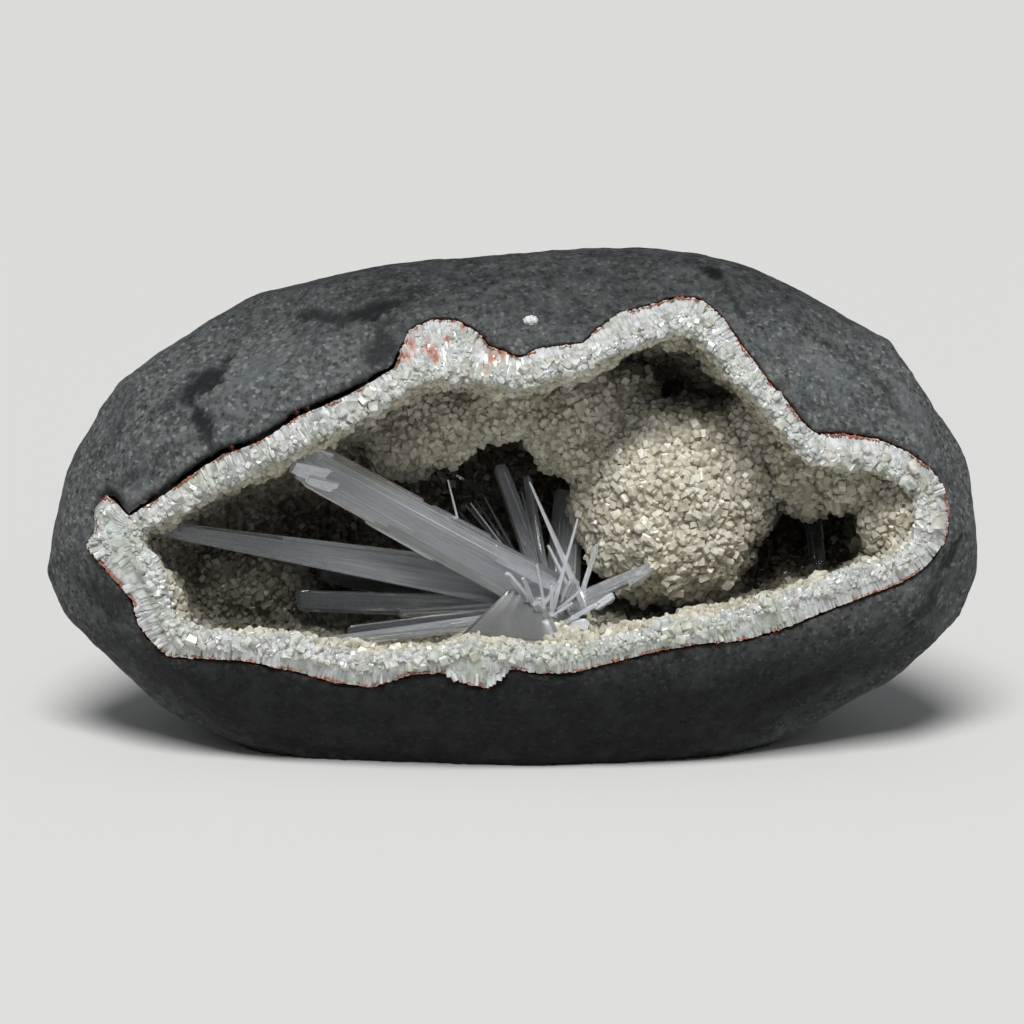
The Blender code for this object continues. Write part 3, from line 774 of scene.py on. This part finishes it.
def addCrystals(name, inside, kinds, points, axes, sizes, stretches, values, dice, material):
    verts, tris, rises, owners = [], [], [], []
    start = 0
    for kind in habits:
        chosen = np.nonzero(inside & (kinds == kind))[0]
        if not len(chosen):
            continue
        v, t, rise, owner = copyHabit(kind, *(a[chosen] for a in (points, axes, sizes, stretches)), dice)
        verts.append(v)
        tris.append(t + start)
        rises.append(rise)
        owners.append(chosen[owner])
        start += len(v)
    verts, owners = np.concatenate(verts), np.concatenate(owners)
    obj = meshObject(name, verts, np.concatenate(tris))
    mesh = obj.data
    setAttribute(mesh, "rise", np.concatenate(rises))
    for key, value in values.items():
        setAttribute(mesh, key, value[owners])
    setAttribute(mesh, "rust", stainAt(offFace(verts)))
    dress(mesh, material)
    rideAs(obj, "crystal_crust")


# The broken rim: columns of the same zeolite side by side, snapped across, so it shows a soft white palisade
# that ends in glassy lumps towards the hollow, and a thin rusty seam where it meets the basalt
rim = {
    "step": 0.95,  # mm between columns along the contact
    "thick": (1.1, 2.4),
    "row": 3.6,  # mm of the rim's width that one row of columns takes
    "proud": (0.0, 0.5),  # mm that the columns stand out of the broken face
    "overhang": (-0.8, 1.2),  # mm that their tips reach past the inner edge
    "clump": 7,  # mm across one clump of the inner edge
    "hang": 2.8,  # mm that a clump hangs past the edge
    "lump": (1.4, 3.3),
    "seamStep": 0.5,  # mm between the rusty grains
    "seamGrain": (0.35, 0.85),
    "seamColours": ("#ab6342", "#573c2e"),
}


def rimFrames(step):  # points on the contact, the way across the rim from each and the rim's width there
    outer = closedCurve(contactLine, step)
    toward = mouthCurve[closestOn(mouthCurve, outer)] - outer
    reach = int(3.5 / step)
    smooth = sum(np.roll(toward, k, 0) for k in range(-reach, reach + 1))
    smooth /= np.linalg.norm(smooth, axis=1)[:, None]
    width = np.linalg.norm(toward, axis=1)
    return outer, smooth, width


def clumpAt(places):  # 0 to 1, how much the rim swells into a clump there
    points = np.stack([places[:, 0] * mm, places[:, 1] * mm, places[:, 0] * 0], 1)
    return np.clip(0.45 + fieldNoise(points, rim["clump"], 61, 2) * 1.3, 0, 1)


def growRim(material):
    dice = np.random.default_rng(19)
    low, high = rim["proud"]
    rows = []
    frames = rimFrames(rim["step"])
    for p, toward, width, clump in zip(*frames, clumpAt(frames[0])):
        sideways = np.array([-toward[1], toward[0]])
        count = max(1, int(round(width / rim["row"])))
        for row in range(count):
            shift = sideways * dice.uniform(-0.6, 0.6)
            start = 0.1 if row == 0 else width * row / count + dice.uniform(-1.2, 0.4)
            end = width * (row + 1.15) / count + dice.uniform(-0.6, 0.6)
            if row == count - 1:
                end = width + dice.uniform(*rim["overhang"]) + clump * 0.8
            thick = dice.uniform(*rim["thick"])
            lift = dice.uniform(low, high) + clump * 0.7
            foot = p + toward * start + shift
            tip = p + toward * end + shift + sideways * dice.uniform(-0.8, 0.8)
            inside = p + toward * min(end, width - 0.5) + shift
            depths = [depthOf(crustTree, *foot), depthOf(crustTree, *inside)]
            if depths[0] is None and depths[1] is None:
                continue
            depths[0] = depths[1] if depths[0] is None else depths[0]
            if depths[1] is None or abs(depths[1] - depths[0]) > 5:
                depths[1] = depths[0] + 1
            sunk = thick / 2 - lift
            a = np.array(onFace(foot[0], foot[1], depths[0] + sunk + (0.5 if row == 0 else 0)))
            b = np.array(onFace(tip[0], tip[1], depths[1] + sunk + dice.uniform(0, 0.8)))
            length = np.linalg.norm(b - a)
            if length > 0.8 * mm:
                rows.append((a, (b - a) / length, thick * mm, length / (thick * mm)))
    origins, axes, sizes, stretches = (np.array(column) for column in zip(*rows))
    verts, tris, rise, owner = copyHabit("column", origins, axes, sizes, stretches, dice)
    obj = meshObject("rimColumns", verts, tris)
    mesh = obj.data
    count = len(origins)
    tone = np.clip(dice.normal(0.75, 0.25, count), 0, 1)
    glassy = np.clip(fieldNoise(verts, 4, 63, 2) * 2.6, 0, 0.85)
    setAttribute(mesh, "rise", 1 - 0.5 * smoothStep(0.6, 1, rise) - glassy)
    places = offFace(verts)
    # Painted shade: darker patches on the upper left of the rim
    dull = smoothStep(-104, -90, places[:, 0]) * smoothStep(-40, -52, places[:, 0]) * (places[:, 1] > 0)
    setAttribute(mesh, "gloom", dull * np.clip(0.15 + fieldNoise(verts, 6, 64), 0, 0.4))
    setAttribute(mesh, "tone", tone[owner])
    setAttribute(mesh, "pale", np.clip(dice.normal(0.95, 0.08, count), 0, 1)[owner])
    setAttribute(mesh, "rust", stainAt(places))
    dress(mesh, material)
    rideAs(obj, "crystal_crust")


def growLumps(material):
    # blocky crystals in clumps along the inner edge, where the columns end in the open
    dice = np.random.default_rng(23)
    edge = closedCurve(mouthLine, 0.62)
    away = contactCurve[closestOn(contactCurve, edge)] - edge
    away /= np.linalg.norm(away, axis=1)[:, None]
    origins, axes, sizes, stretches = [], [], [], []
    for p, out, clump in zip(edge, away, clumpAt(edge)):
        for _ in range(2):
            size = dice.uniform(*rim["lump"]) * (0.55 + 0.6 * clump)
            inward = dice.uniform(-2.8, 0.2 + rim["hang"] * clump) - size * 0.4
            depth = depthOf(crustTree, *(p + out * 1.2))
            if depth is None:
                continue
            place = p - out * inward
            deep = depth + dice.uniform(0, 2.6) + max(0, inward) * 0.8 - 0.2 * clump
            axis = -np.array([*(out * dice.uniform(0.3, 1.0)), dice.uniform(0.1, 0.9)])
            axis += dice.normal(scale=0.35, size=3)
            tip = np.array([*place, deep]) + axis
            a = np.array(onFace(*place, deep))
            b = np.array(onFace(*tip))
            origins.append(a)
            axes.append((b - a) / np.linalg.norm(b - a))
            sizes.append(size * mm)
            stretches.append(dice.uniform(0.7, 1.3))
    count = len(origins)
    pick = dice.random(count)
    kinds = np.select([pick < 0.35, pick < 0.6, pick < 0.92], ["block", "leaning", "wedge"], "point")
    values = {
        "tone": np.clip(dice.normal(0.75, 0.2, count), 0, 1),
        "pale": np.clip(dice.normal(0.75, 0.22, count), 0, 1),
        "gloom": np.zeros(count),
    }
    every = np.ones(count, bool)
    arrays = (np.array(a) for a in (origins, axes, sizes, stretches))
    addCrystals("rimLumps", every, kinds, *arrays, values, dice, material)


def growSeam():
    # small rusty and brown grains along the contact
    dice = np.random.default_rng(29)
    made, tree = newMaterial("rustSeam")
    colour = mixColours(tree, attribute(tree, "tone"), *(fromHex(code) for code in rim["seamColours"]))
    shadeWith(tree, {"Roughness": 0.7}, {"Base Color": colour})
    origins, sizes = [], []
    outer, toward, _ = rimFrames(rim["seamStep"])
    present = fieldNoise(np.stack([*(outer.T * mm), outer[:, 0] * 0], 1), 9, 51, 2)
    for p, way, here in zip(outer, toward, present):
        if here < -0.22:
            continue
        place = p + way * dice.uniform(-0.15, 0.55)
        depth = depthOf(crustTree, *(p + way * 0.6))
        if depth is None:
            continue
        size = dice.uniform(*rim["seamGrain"]) * (0.75 + 0.5 * min(1, here + 0.3))
        origins.append(onFace(place[0], place[1], depth + size * 0.1))
        sizes.append(size * mm)
    origins = np.array(origins)
    sizes = np.array(sizes)
    axes = np.tile(np.array(-into), (len(origins), 1)) + dice.normal(scale=0.3, size=(len(origins), 3))
    axes /= np.linalg.norm(axes, axis=1)[:, None]
    verts, tris, _, owner = copyHabit("bead", origins, axes, sizes, np.full(len(origins), 0.8), dice)
    obj = meshObject("rustSeam", verts, tris)
    setAttribute(obj.data, "tone", np.clip(dice.normal(0.4, 0.3, len(origins)), 0, 1)[owner])
    dress(obj.data, made)
    rideAs(obj, "crystal_crust")


# Scolecite: long clear zeolite crystals, glassy along their sides and finely striated lengthwise, so they
# carry thin bright lines, veil what is behind them in pale grey and end in small steps
scolecite = {
    "clear": "#edf0f4",
    "haze": "#c0c5cb",
    "needle": "#e6eaf0",
    "frost": "#5d6060",
    "veiled": "#3a3d3d",
    # darker colours of the clear finish, painted shade for the crystals that lie in shade
    "shadedPale": "#aeb2b6",
    "shadedDark": "#777b7e",
    "milk": "#f0f3f8",
    "milkDark": "#cbd2da",
    "ior": 1.512,
    "strand": 0.45,  # mm between the lengthwise lines
    "strandLength": 30,  # mm along one line
    "ledge": (0.12, 0.5),  # mm that a slab stands proud of its crystal
    "slabWidth": (1.4, 4.2),
}

# Foot, tip, width and thickness at the foot, both at the tip, turn about the length, slabs along it, and
# finish: 0 clear, 1 so fine or striated that it scatters the light, 2 frosted, 3 painted shade (a darker
# clear for crystals in the hollow's shade), 4 milky
sprayCrystals = {
    "great": ((12, -29, 58), (-67, 14.5, 33), (15.5, 9), (13.2, 8), 20, 16, 0),
    "greatEnd1": ((-58, 10, 35.5), (-69.5, 13.2, 30.6), (9.5, 8), (6.5, 6), 30, 0, 4),
    "greatEnd2": ((-59, 14, 35), (-67, 18, 31.6), (8, 7), (5.6, 5), 10, 0, 4),
    "greatEnd3": ((-56.5, 7, 35.6), (-65.5, 9, 31.4), (6.6, 6.4), (4.6, 4.2), 50, 0, 4),
    "mark1": ((-56.6, 6.2, 34.6), (-52.4, 8.6, 33.2), (2.4, 1.6), (1.6, 1.2), 15, 0, 4),
    "mark2": ((-53, 3.8, 36), (-50.4, 6.4, 34.4), (1.6, 1.4), (1.2, 1.0), 40, 0, 4),
    "mark3": ((-8.6, -15.8, 48.2), (-4.8, -12.8, 47.2), (1.3, 1.0), (0.9, 0.8), 15, 0, 4),
    "mark4": ((-11.2, -14, 48.8), (-9.6, -11, 47.9), (1.0, 0.8), (0.8, 0.7), 15, 0, 4),
    "hair": ((-17, -6, 50), (-20.5, 8.4, 45), (0.9, 0.8), (0.5, 0.4), 0, 0, 1),
    "long": ((6, -27, 66), (-117.5, -6.5, 47), (15, 6.5), (4.5, 3), -8, 15, 0),
    "shadow": ((2, -31, 70), (-62, -22, 77), (13, 6), (5, 3), 12, 8, 3),
    "level": ((6, -33, 66), (-69.5, -30.5, 62), (8.2, 4.6), (7.2, 3.8), 0, 9, 3),
    "low": ((4, -36, 56), (-57.5, -43, 28), (6, 3.2), (3.4, 2.0), 30, 7, 0),
    "lowBehind": ((4, -34, 60), (-52, -39.5, 38), (5, 2.8), (2.6, 2), -15, 5, 3),
    "lowAbove": ((5, -32.5, 62), (-36, -34.5, 48), (4.4, 2.8), (2.4, 1.6), 40, 4, 3),
    "rod": ((12, -34, 56), (42, -21, 42), (4.6, 4.0), (4, 3.4), 25, 3, 0),
    "stub": ((12, -35, 55), (32, -29, 47), (5.0, 4.0), (4.2, 3.2), 10, 3, 0),
    "tall": ((24, -34.5, 50), (5.5, 7.8, 42), (3.0, 2.2), (0.7, 0.6), 30, 0, 1),
    "tallTwin": ((20, -30, 51), (11.5, -12.5, 45), (1.8, 1.5), (0.9, 0.8), 0, 0, 1),
    "leaning": ((12, -37, 50), (21, -4, 44), (2.1, 1.7), (0.8, 0.7), 15, 0, 1),
    "right": ((22, -28.5, 51), (27, -12.5, 43), (1.9, 1.6), (1.6, 1.4), 45, 0, 1),
    "tooth1": ((6, -31, 50), (-1.5, -21.5, 40), (2.8, 2.0), (2.2, 1.5), 60, 0, 1),
    "tooth2": ((8, -35, 50), (3.5, -23, 41), (2.0, 1.6), (1.5, 1.1), 20, 0, 1),
    "tooth3": ((11, -36, 50), (8, -18.5, 42), (1.5, 1.3), (0.8, 0.7), 20, 0, 1),
    "tooth4": ((9, -34, 52), (15, -24, 42), (1.6, 1.4), (0.9, 0.8), 35, 0, 1),
    "tooth5": ((13, -37, 48), (12.5, -25.5, 42), (1.6, 1.4), (1.1, 1.0), 5, 0, 1),
    "tooth6": ((14, -34, 50), (22, -27, 43), (1.2, 1.0), (0.9, 0.8), 5, 0, 1),
    "tooth7": ((16, -38, 49), (27, -31.5, 42), (1.8, 1.6), (1.6, 1.4), 5, 0, 1),
    "tooth8": ((12, -36, 50), (19, -31, 41), (1.2, 1.0), (0.9, 0.8), 35, 0, 1),
    "block1": ((10, -36, 50), (7.5, -31, 43), (3.6, 3.0), (3.0, 2.6), 20, 0, 0),
    "block2": ((17, -32, 53), (20, -24, 46), (4.2, 3.6), (3.8, 3.2), 10, 0, 0),
    "block3": ((14, -36, 52), (11, -35, 42), (3.4, 2.8), (2.8, 2.4), 50, 0, 0),
    "back": ((12, -31, 66), (-4, 13, 77), (7, 4), (4.5, 3), -30, 6, 0),
    "backTwin": ((11, -31, 68), (5, 9.5, 79), (5, 3.5), (3, 2), 40, 4, 0),
    "broadBack": ((16, -30, 70), (18.5, 5, 85), (13, 5), (10, 4), 35, 8, 0),
    "nub": ((18, -38.5, 52), (23.5, -38, 43.5), (5.4, 4.6), (4.4, 3.8), 20, 0, 4),
    "roundEnd": ((27, -32, 49), (32.4, -28.6, 45.6), (3.2, 3.2), (2.6, 2.6), 20, 0, 4),
    "rodEnd": ((37.5, -24, 44), (44.5, -19.4, 41), (5, 4.4), (4.2, 3.6), 20, 0, 0),
    "backFan1": ((10, -30, 66), (-12, 2, 68), (1.7, 1.3), (0.7, 0.6), 10, 0, 3),
    "backFan2": ((10, -30, 67), (-15, 0.5, 70), (1.5, 1.2), (0.7, 0.6), 40, 0, 3),
    "backFan3": ((10, -30, 68), (-17.5, -1.5, 72), (1.5, 1.2), (0.7, 0.6), 10, 0, 3),
    "backFan4": ((9, -30, 69), (-9, 3, 70), (1.5, 1.2), (0.6, 0.5), 0, 0, 3),
    "backFan5": ((12, -30, 66), (3, 5, 70), (1.5, 1.2), (0.6, 0.5), 0, 0, 3),
    "backFan6": ((10, -30, 66), (-13.5, 1, 66), (1.3, 1.1), (0.6, 0.5), 0, 0, 1),
}
loneCrystals = {
    "scolecite_back_needles": ((3.5, -4, 105), (-18, 10, 62), (3.8, 2.8), (1.2, 1.0), 20, 0, 3),
    "scolecite_deep_blade": ((95.5, 18, 82), (99, -22, 66), (7, 3), (5, 2.4), -35, 4, 3),
}
knob = {"at": (9, -36, 60), "half": (15, 8.5, 13)}

# Frosted plate in front of the root: corners across, up, deep, from the crest at the left round to the right
plate = {
    "corners": ((-0.5, -26.5, 52), (10, -30, 54), (17, -45, 28), (-18, -42.6, 28)),
    "across": 12,  # divisions
    "down": 8,
    "thick": 1.8,
    "wave": 0.9,
}


def crystalFrame(row):
    foot, tip = Vector(row[0]), Vector(row[1])
    along = (tip - foot).normalized()
    side = along.cross(Vector((0, 0, 1))).normalized()
    front = side.cross(along)
    roll = Matrix.Rotation(math.radians(row[4]), 3, along)
    return foot, tip, along, roll @ side, roll @ front


def sizeAt(footSize, tipSize, share):  # width and thickness at that share of the length
    return [a + (b - a) * share for a, b in zip(footSize, tipSize)]


def prism(foot, tip, side, front, footSize, tipSize, dice, sides, blunt=0.82):
    # a straight crystal with flat sides of unequal width and a slanting broken end, in the face's millimetres
    along = (tip - foot).normalized()
    length = (tip - foot).length
    angles = [math.tau * (i + 0.5 + dice.uniform(-0.22, 0.22)) / sides for i in range(sides)]
    power = 0.55  # between an ellipse at 1 and a rectangle at 0
    profile = []
    for a in angles:
        c, s = math.cos(a), math.sin(a)
        profile.append((math.copysign(abs(c) ** power, c), math.copysign(abs(s) ** power, s)))
    slant = dice.uniform(-0.25, 0.25), dice.uniform(-0.25, 0.25)
    crown = min(0.5 * min(tipSize), 0.2 * length)
    bm = bmesh.new()
    rows = []
    for place, share in ((0.0, 1.0), (1.0 - crown / length, 1.0), (1.0, blunt)):
        wide, thick = sizeAt(footSize, tipSize, place)
        row = []
        for x, y in profile:
            spot = foot + along * length * place + side * (x * wide / 2 * share)
            spot += front * (y * thick / 2 * share)
            if place > 0.5:
                spot += along * (x * slant[0] * wide / 2 + y * slant[1] * thick / 2)
            row.append(bm.verts.new(spot))
        rows.append(row)
    for near, far in zip(rows, rows[1:]):
        for i in range(sides):
            bm.faces.new((near[i - 1], near[i], far[i], far[i - 1]))
    bm.faces.new(rows[0])
    bm.faces.new(rows[-1])
    return solidOf(bm, "prism")


def solidOf(bm, name):  # an object whose faces look outwards
    bmesh.ops.triangulate(bm, faces=bm.faces)
    bmesh.ops.recalc_face_normals(bm, faces=bm.faces)
    if bm.calc_volume(signed=True) < 0:
        bmesh.ops.reverse_faces(bm, faces=bm.faces)
    return objectOf(bm, name)


def unite(obj, other):
    join = obj.modifiers.new("join", "BOOLEAN")
    join.object = other
    join.operation = "UNION"
    join.solver = "MANIFOLD"
    graph = bpy.context.evaluated_depsgraph_get()
    mesh = bpy.data.meshes.new_from_object(obj.evaluated_get(graph))
    obj.modifiers.clear()
    if len(mesh.polygons) > 0:
        obj.data = mesh
    bpy.data.objects.remove(other)


def bundle(row, dice):  # a crystal with slabs grown along its sides, each ending at its own length
    footSize, tipSize, slabs = row[2:4] + row[5:6]
    foot, tip, along, side, front = crystalFrame(row)
    main = prism(foot, tip, side, front, footSize, tipSize, dice, 5 if slabs == 0 else 8)
    for _ in range(slabs):
        start = dice.uniform(-0.02, 0.7)
        end = min(start + dice.uniform(0.2, 0.8), dice.uniform(0.93, 1.015))
        onFront = dice.random() < 0.78
        sign = dice.choice((-1, 1))
        wide = dice.uniform(*scolecite["slabWidth"])
        wide = min(wide, 0.55 * (min(footSize[0], tipSize[0]) if onFront else min(footSize[1], tipSize[1])))
        proud = dice.uniform(*scolecite["ledge"])
        place = dice.uniform(-0.5, 0.5)
        ends = []
        for share in (start, end):
            w, t = sizeAt(footSize, tipSize, share)
            if onFront:
                offset = side * place * max(w - wide, 0.1) * 1.04 + front * sign * (t / 2 + proud - 1.0)
            else:
                offset = front * place * max(t - wide, 0.1) + side * sign * (w / 2 + proud - 1.0)
            ends.append(foot.lerp(tip, share) + offset)
        size = (wide, 2.0) if onFront else (2.0, wide)
        tapered = (size[0] * 0.94, size[1] * 0.94)
        unite(main, prism(*ends, side, front, size, tapered, dice, 4, 0.7))
    return main


def makePlate(dice):
    a, b, c, d = (Vector(corner) for corner in plate["corners"])
    across, rows = plate["across"], plate["down"] + 1
    bm = bmesh.new()
    layers = []
    out = ((b - a).cross(d - a)).normalized()
    out = -out if out.z > 0 else out
    for layer in (0, 1):
        grid = []
        for j in range(rows):
            v = j / plate["down"]
            line = []
            for i in range(across + 1):
                u = i / across
                spot = a.lerp(b, u).lerp(d.lerp(c, u), v)
                bow = 1.0 * math.sin(math.pi * u) * v
                wave = plate["wave"] * noise.noise(Vector((u * 11, v * 1.2, 4)))
                wave += 0.2 * noise.noise(spot * 0.6)
                thick = plate["thick"] * (0.35 + 0.65 * min(1, v * 3))
                line.append(bm.verts.new(spot + out * (bow + wave - layer * thick)))
            grid.append(line)
        layers.append(grid)
    top, under = layers
    for grid in layers:
        for j in range(rows - 1):
            for i in range(across):
                bm.faces.new((grid[j][i], grid[j][i + 1], grid[j + 1][i + 1], grid[j + 1][i]))
    edge = [(0, i) for i in range(across)] + [(j, across) for j in range(rows - 1)]
    edge += [(rows - 1, i) for i in range(across, 0, -1)] + [(j, 0) for j in range(rows - 1, 0, -1)]
    for (j0, i0), (j1, i1) in zip(edge, edge[1:] + edge[:1]):
        bm.faces.new((top[j0][i0], top[j1][i1], under[j1][i1], under[j0][i0]))
    return solidOf(bm, "plate")


def makeSpray():
    dice = random.Random(5)
    ball = swollenBall(3, knob["at"], knob["half"], ((0.12, 2.3),))
    spray = solidOf(ball, "scoleciteSpray")
    finishes = [(treeOf(spray.data), 2)]
    for row in sprayCrystals.values():
        crystal = bundle(row, dice)
        finishes.append((treeOf(crystal.data), row[6]))
        unite(spray, crystal)
    sheet = makePlate(dice)
    finishes.append((treeOf(sheet.data), 2))
    unite(spray, sheet)
    finishScolecite(spray, "scolecite_spray", list(sprayCrystals.values()), finishes)
    for node, row in loneCrystals.items():
        lone = bundle(row, dice)
        lone.name = node + "_clear"
        finishScolecite(lone, node, [row], [(treeOf(lone.data), row[6])])


def finishScolecite(obj, node, rows, finishes):
    # turns the crystals from the face's millimetres to the standing stone, and gives each face its crystal's
    # own lengthwise frame, so that the lines of the material follow the crystal
    mesh = obj.data
    co = vertexArray(mesh)
    frames = [crystalFrame(row) for row in rows]
    axes = np.array([[f[3][:], f[4][:], f[2][:]] for f in frames])
    feet = np.array([f[0][:] for f in frames])
    lengths = np.array([(f[1] - f[0]).length for f in frames])
    halves = np.array([[max(r[2][0], r[3][0]) / 2, max(r[2][1], r[3][1]) / 2] for r in rows])
    loops = np.empty(len(mesh.loops), np.int32)
    mesh.loops.foreach_get("vertex_index", loops)
    strands = np.empty((len(loops), 3), np.float32)
    kinds = []
    for facet in mesh.polygons:
        centre = co[list(facet.vertices)].mean(0)
        local = np.einsum("kij,kj->ki", axes, centre - feet)
        off = np.abs(local[:, :2]) / halves
        past = np.maximum(0, np.maximum(-local[:, 2], local[:, 2] - lengths)) / 2
        owner = int(np.argmin(off.max(1) + past))
        strands[list(facet.loop_indices)] = (co[list(facet.vertices)] - feet[owner]) @ axes[owner].T
        strands[list(facet.loop_indices)] += owner * 37.0
        kinds.append(finishAt(centre, finishes))
    layer = mesh.attributes.new("strand", "FLOAT_VECTOR", "CORNER")
    layer.data.foreach_set("vector", strands.ravel())
    moveTo(mesh, [onFace(*p)[:] for p in co])
    dress(mesh, *scoleciteMaterials)
    mesh.polygons.foreach_set("material_index", kinds)
    mesh.polygons.foreach_set("use_smooth", [kind == 2 for kind in kinds])
    mesh.update()
    rideAs(obj, node)


def finishAt(place, finishes):  # of the crystal whose own surface lies nearest, within 3 mm
    best, chosen = math.inf, 2
    for tree, finish in finishes:
        away = tree.find_nearest(Vector(place), 3)[3]
        if away is not None and away < best:
            best, chosen = away, finish
    return chosen


def makeScoleciteMaterial(name, pale, dark, transmission, roughness):
    made, tree = newMaterial(name)
    strand = addNode(tree, "Attribute", {"attribute_name": "strand"}).outputs["Vector"]
    across, along = 1 / scolecite["strand"], 1 / scolecite["strandLength"]
    settings = {"operation": "MULTIPLY", "in:1": (across, across, along)}
    stretch = addNode(tree, "VectorMath", settings, {"0": strand}).outputs[0]
    lines = noiseOf(tree, stretch, 1, 3, 0.6).outputs[0]
    body = mixColours(tree, rampOf(tree, lines, [(0.36, 0.0), (0.66, 1.0)]), fromHex(dark), fromHex(pale))
    settings = {
        "Roughness": roughness,
        "IOR": scolecite["ior"],
        "Metallic": 0.0,
        "Transmission Weight": transmission,
    }
    shadeWith(tree, settings, {"Base Color": body, "Normal": bumpOf(tree, lines, 0.3, 0.0002)})
    return made


# Amygdule: a gas bubble filled with milky zeolite, broken across, so it shows one rough satin white spot
bead = {"colour": "#e4e4e4", "shade": "#b4b2b2", "grain": 0.9}  # mm across a grain


def makeBead():
    made, tree = newMaterial("amygduleMilky")
    grain = cellsOf(tree, objectSpot(tree), bead["grain"] * mm).outputs["Distance"]
    colour = mixColours(tree, grain, fromHex(bead["colour"]), fromHex(bead["shade"]))
    settings = {"Roughness": 0.35, "Subsurface Weight": 0.2, "Subsurface Scale": 0.001}
    shadeWith(tree, settings, {"Base Color": colour, "Normal": bumpOf(tree, grain, 0.5, 0.0003)})
    low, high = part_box("amygdule")
    ball = swollenBall(4, (low + high) / 2, (high - low) / 2, ((0.16, 3.1), (0.1, 7)))
    obj = objectOf(ball, "amygduleWhite")
    dress(obj.data, made)
    rideAs(obj, "amygdule")


# Studio: a floor of pale matt paper, a large soft light above and in front, and weak fill
studio = {
    "paper": "#cfcfcc",
    "distance": 2.0,  # from the camera to the stone's widest section
    "floorHalf": 12,
    "key": 3.7,  # watts a square metre
    "softDeg": 26,  # angle that the key light takes up
    "fillWatts": 2,
    "sky": 0.22,
    "skyColour": "#e6eaf0",
    "aim": (0, 0, 0.08),
    "sensor": 36,  # mm across the camera's sensor
    "frameWidth": 0.3299,  # at that distance
    "frameRise": -6 / 1024,  # of the frame's width
}


def makeStudio():
    made, tree = newMaterial("paperMatt")
    shadeWith(tree, {"Base Color": fromHex(studio["paper"]), "Roughness": 0.9})
    bm = bmesh.new()
    half = studio["floorHalf"]
    corners = ((-half, -half), (half, -half), (half, half), (-half, half))
    bm.faces.new([bm.verts.new((x, y, 0)) for x, y in corners])
    floor = objectOf(bm, "paperFloor")
    dress(floor.data, made)
    for name, kind, place, power in (
        ("keyLight", "SUN", (-0.12, -1.45, 2.3), studio["key"]),
        ("fillLight", "AREA", (0.5, -1.6, 0.5), studio["fillWatts"]),
    ):
        light = bpy.data.lights.new(name, kind)
        light.energy = power
        if kind == "SUN":
            light.angle = math.radians(studio["softDeg"])
        else:
            light.shape = "SQUARE"
            light.size = 1.2
        lamp = linked(name, light)
        lamp.location = place
        aim = Vector(studio["aim"]) - Vector(place)
        lamp.rotation_euler = aim.to_track_quat("-Z", "Y").to_euler()
    world = bpy.data.worlds.new("softRoom")
    world.use_nodes = True
    background = world.node_tree.nodes["Background"]
    background.inputs["Color"].default_value = fromHex(studio["skyColour"])
    background.inputs["Strength"].default_value = studio["sky"]
    bpy.context.scene.world = world
    bpy.context.scene.view_settings.view_transform = "Standard"


def makeCamera():
    # straight into the mouth from two metres, so that the frame is 330 mm wide at the widest section
    data = bpy.data.cameras.new("camera")
    data.sensor_width = studio["sensor"]
    data.lens = studio["sensor"] * studio["distance"] / studio["frameWidth"]
    data.shift_y = studio["frameRise"]
    camera = linked("camera", data)
    camera.location = onFace(0, 0, face["middleDepth"]) - into * studio["distance"]
    camera.rotation_euler = into.to_track_quat("-Z", "Y").to_euler()
    bpy.context.scene.camera = camera


makeCamera()
makeStudio()
makeBasalt()
druseMaterial = makeDruseMaterial()
crustBase = makeCrustBase(druseMaterial)
growDruse(crustBase, druseMaterial)
growRim(druseMaterial)
growLumps(druseMaterial)
growSeam()
# in the order of the finishes: clear, needle, frosted, painted shade for crystals in shade, milky
scoleciteMaterials = [
    makeScoleciteMaterial("scoleciteClear", scolecite["clear"], scolecite["haze"], 0.74, 0.12),
    makeScoleciteMaterial("scoleciteNeedle", scolecite["needle"], scolecite["clear"], 0.6, 0.1),
    makeScoleciteMaterial("scoleciteFrosted", scolecite["frost"], scolecite["veiled"], 0.5, 0.36),
    makeScoleciteMaterial("scoleciteShaded", scolecite["shadedPale"], scolecite["shadedDark"], 0.9, 0.08),
    makeScoleciteMaterial("scoleciteMilky", scolecite["milk"], scolecite["milkDark"], 0.25, 0.25),
]
makeSpray()
makeBead()
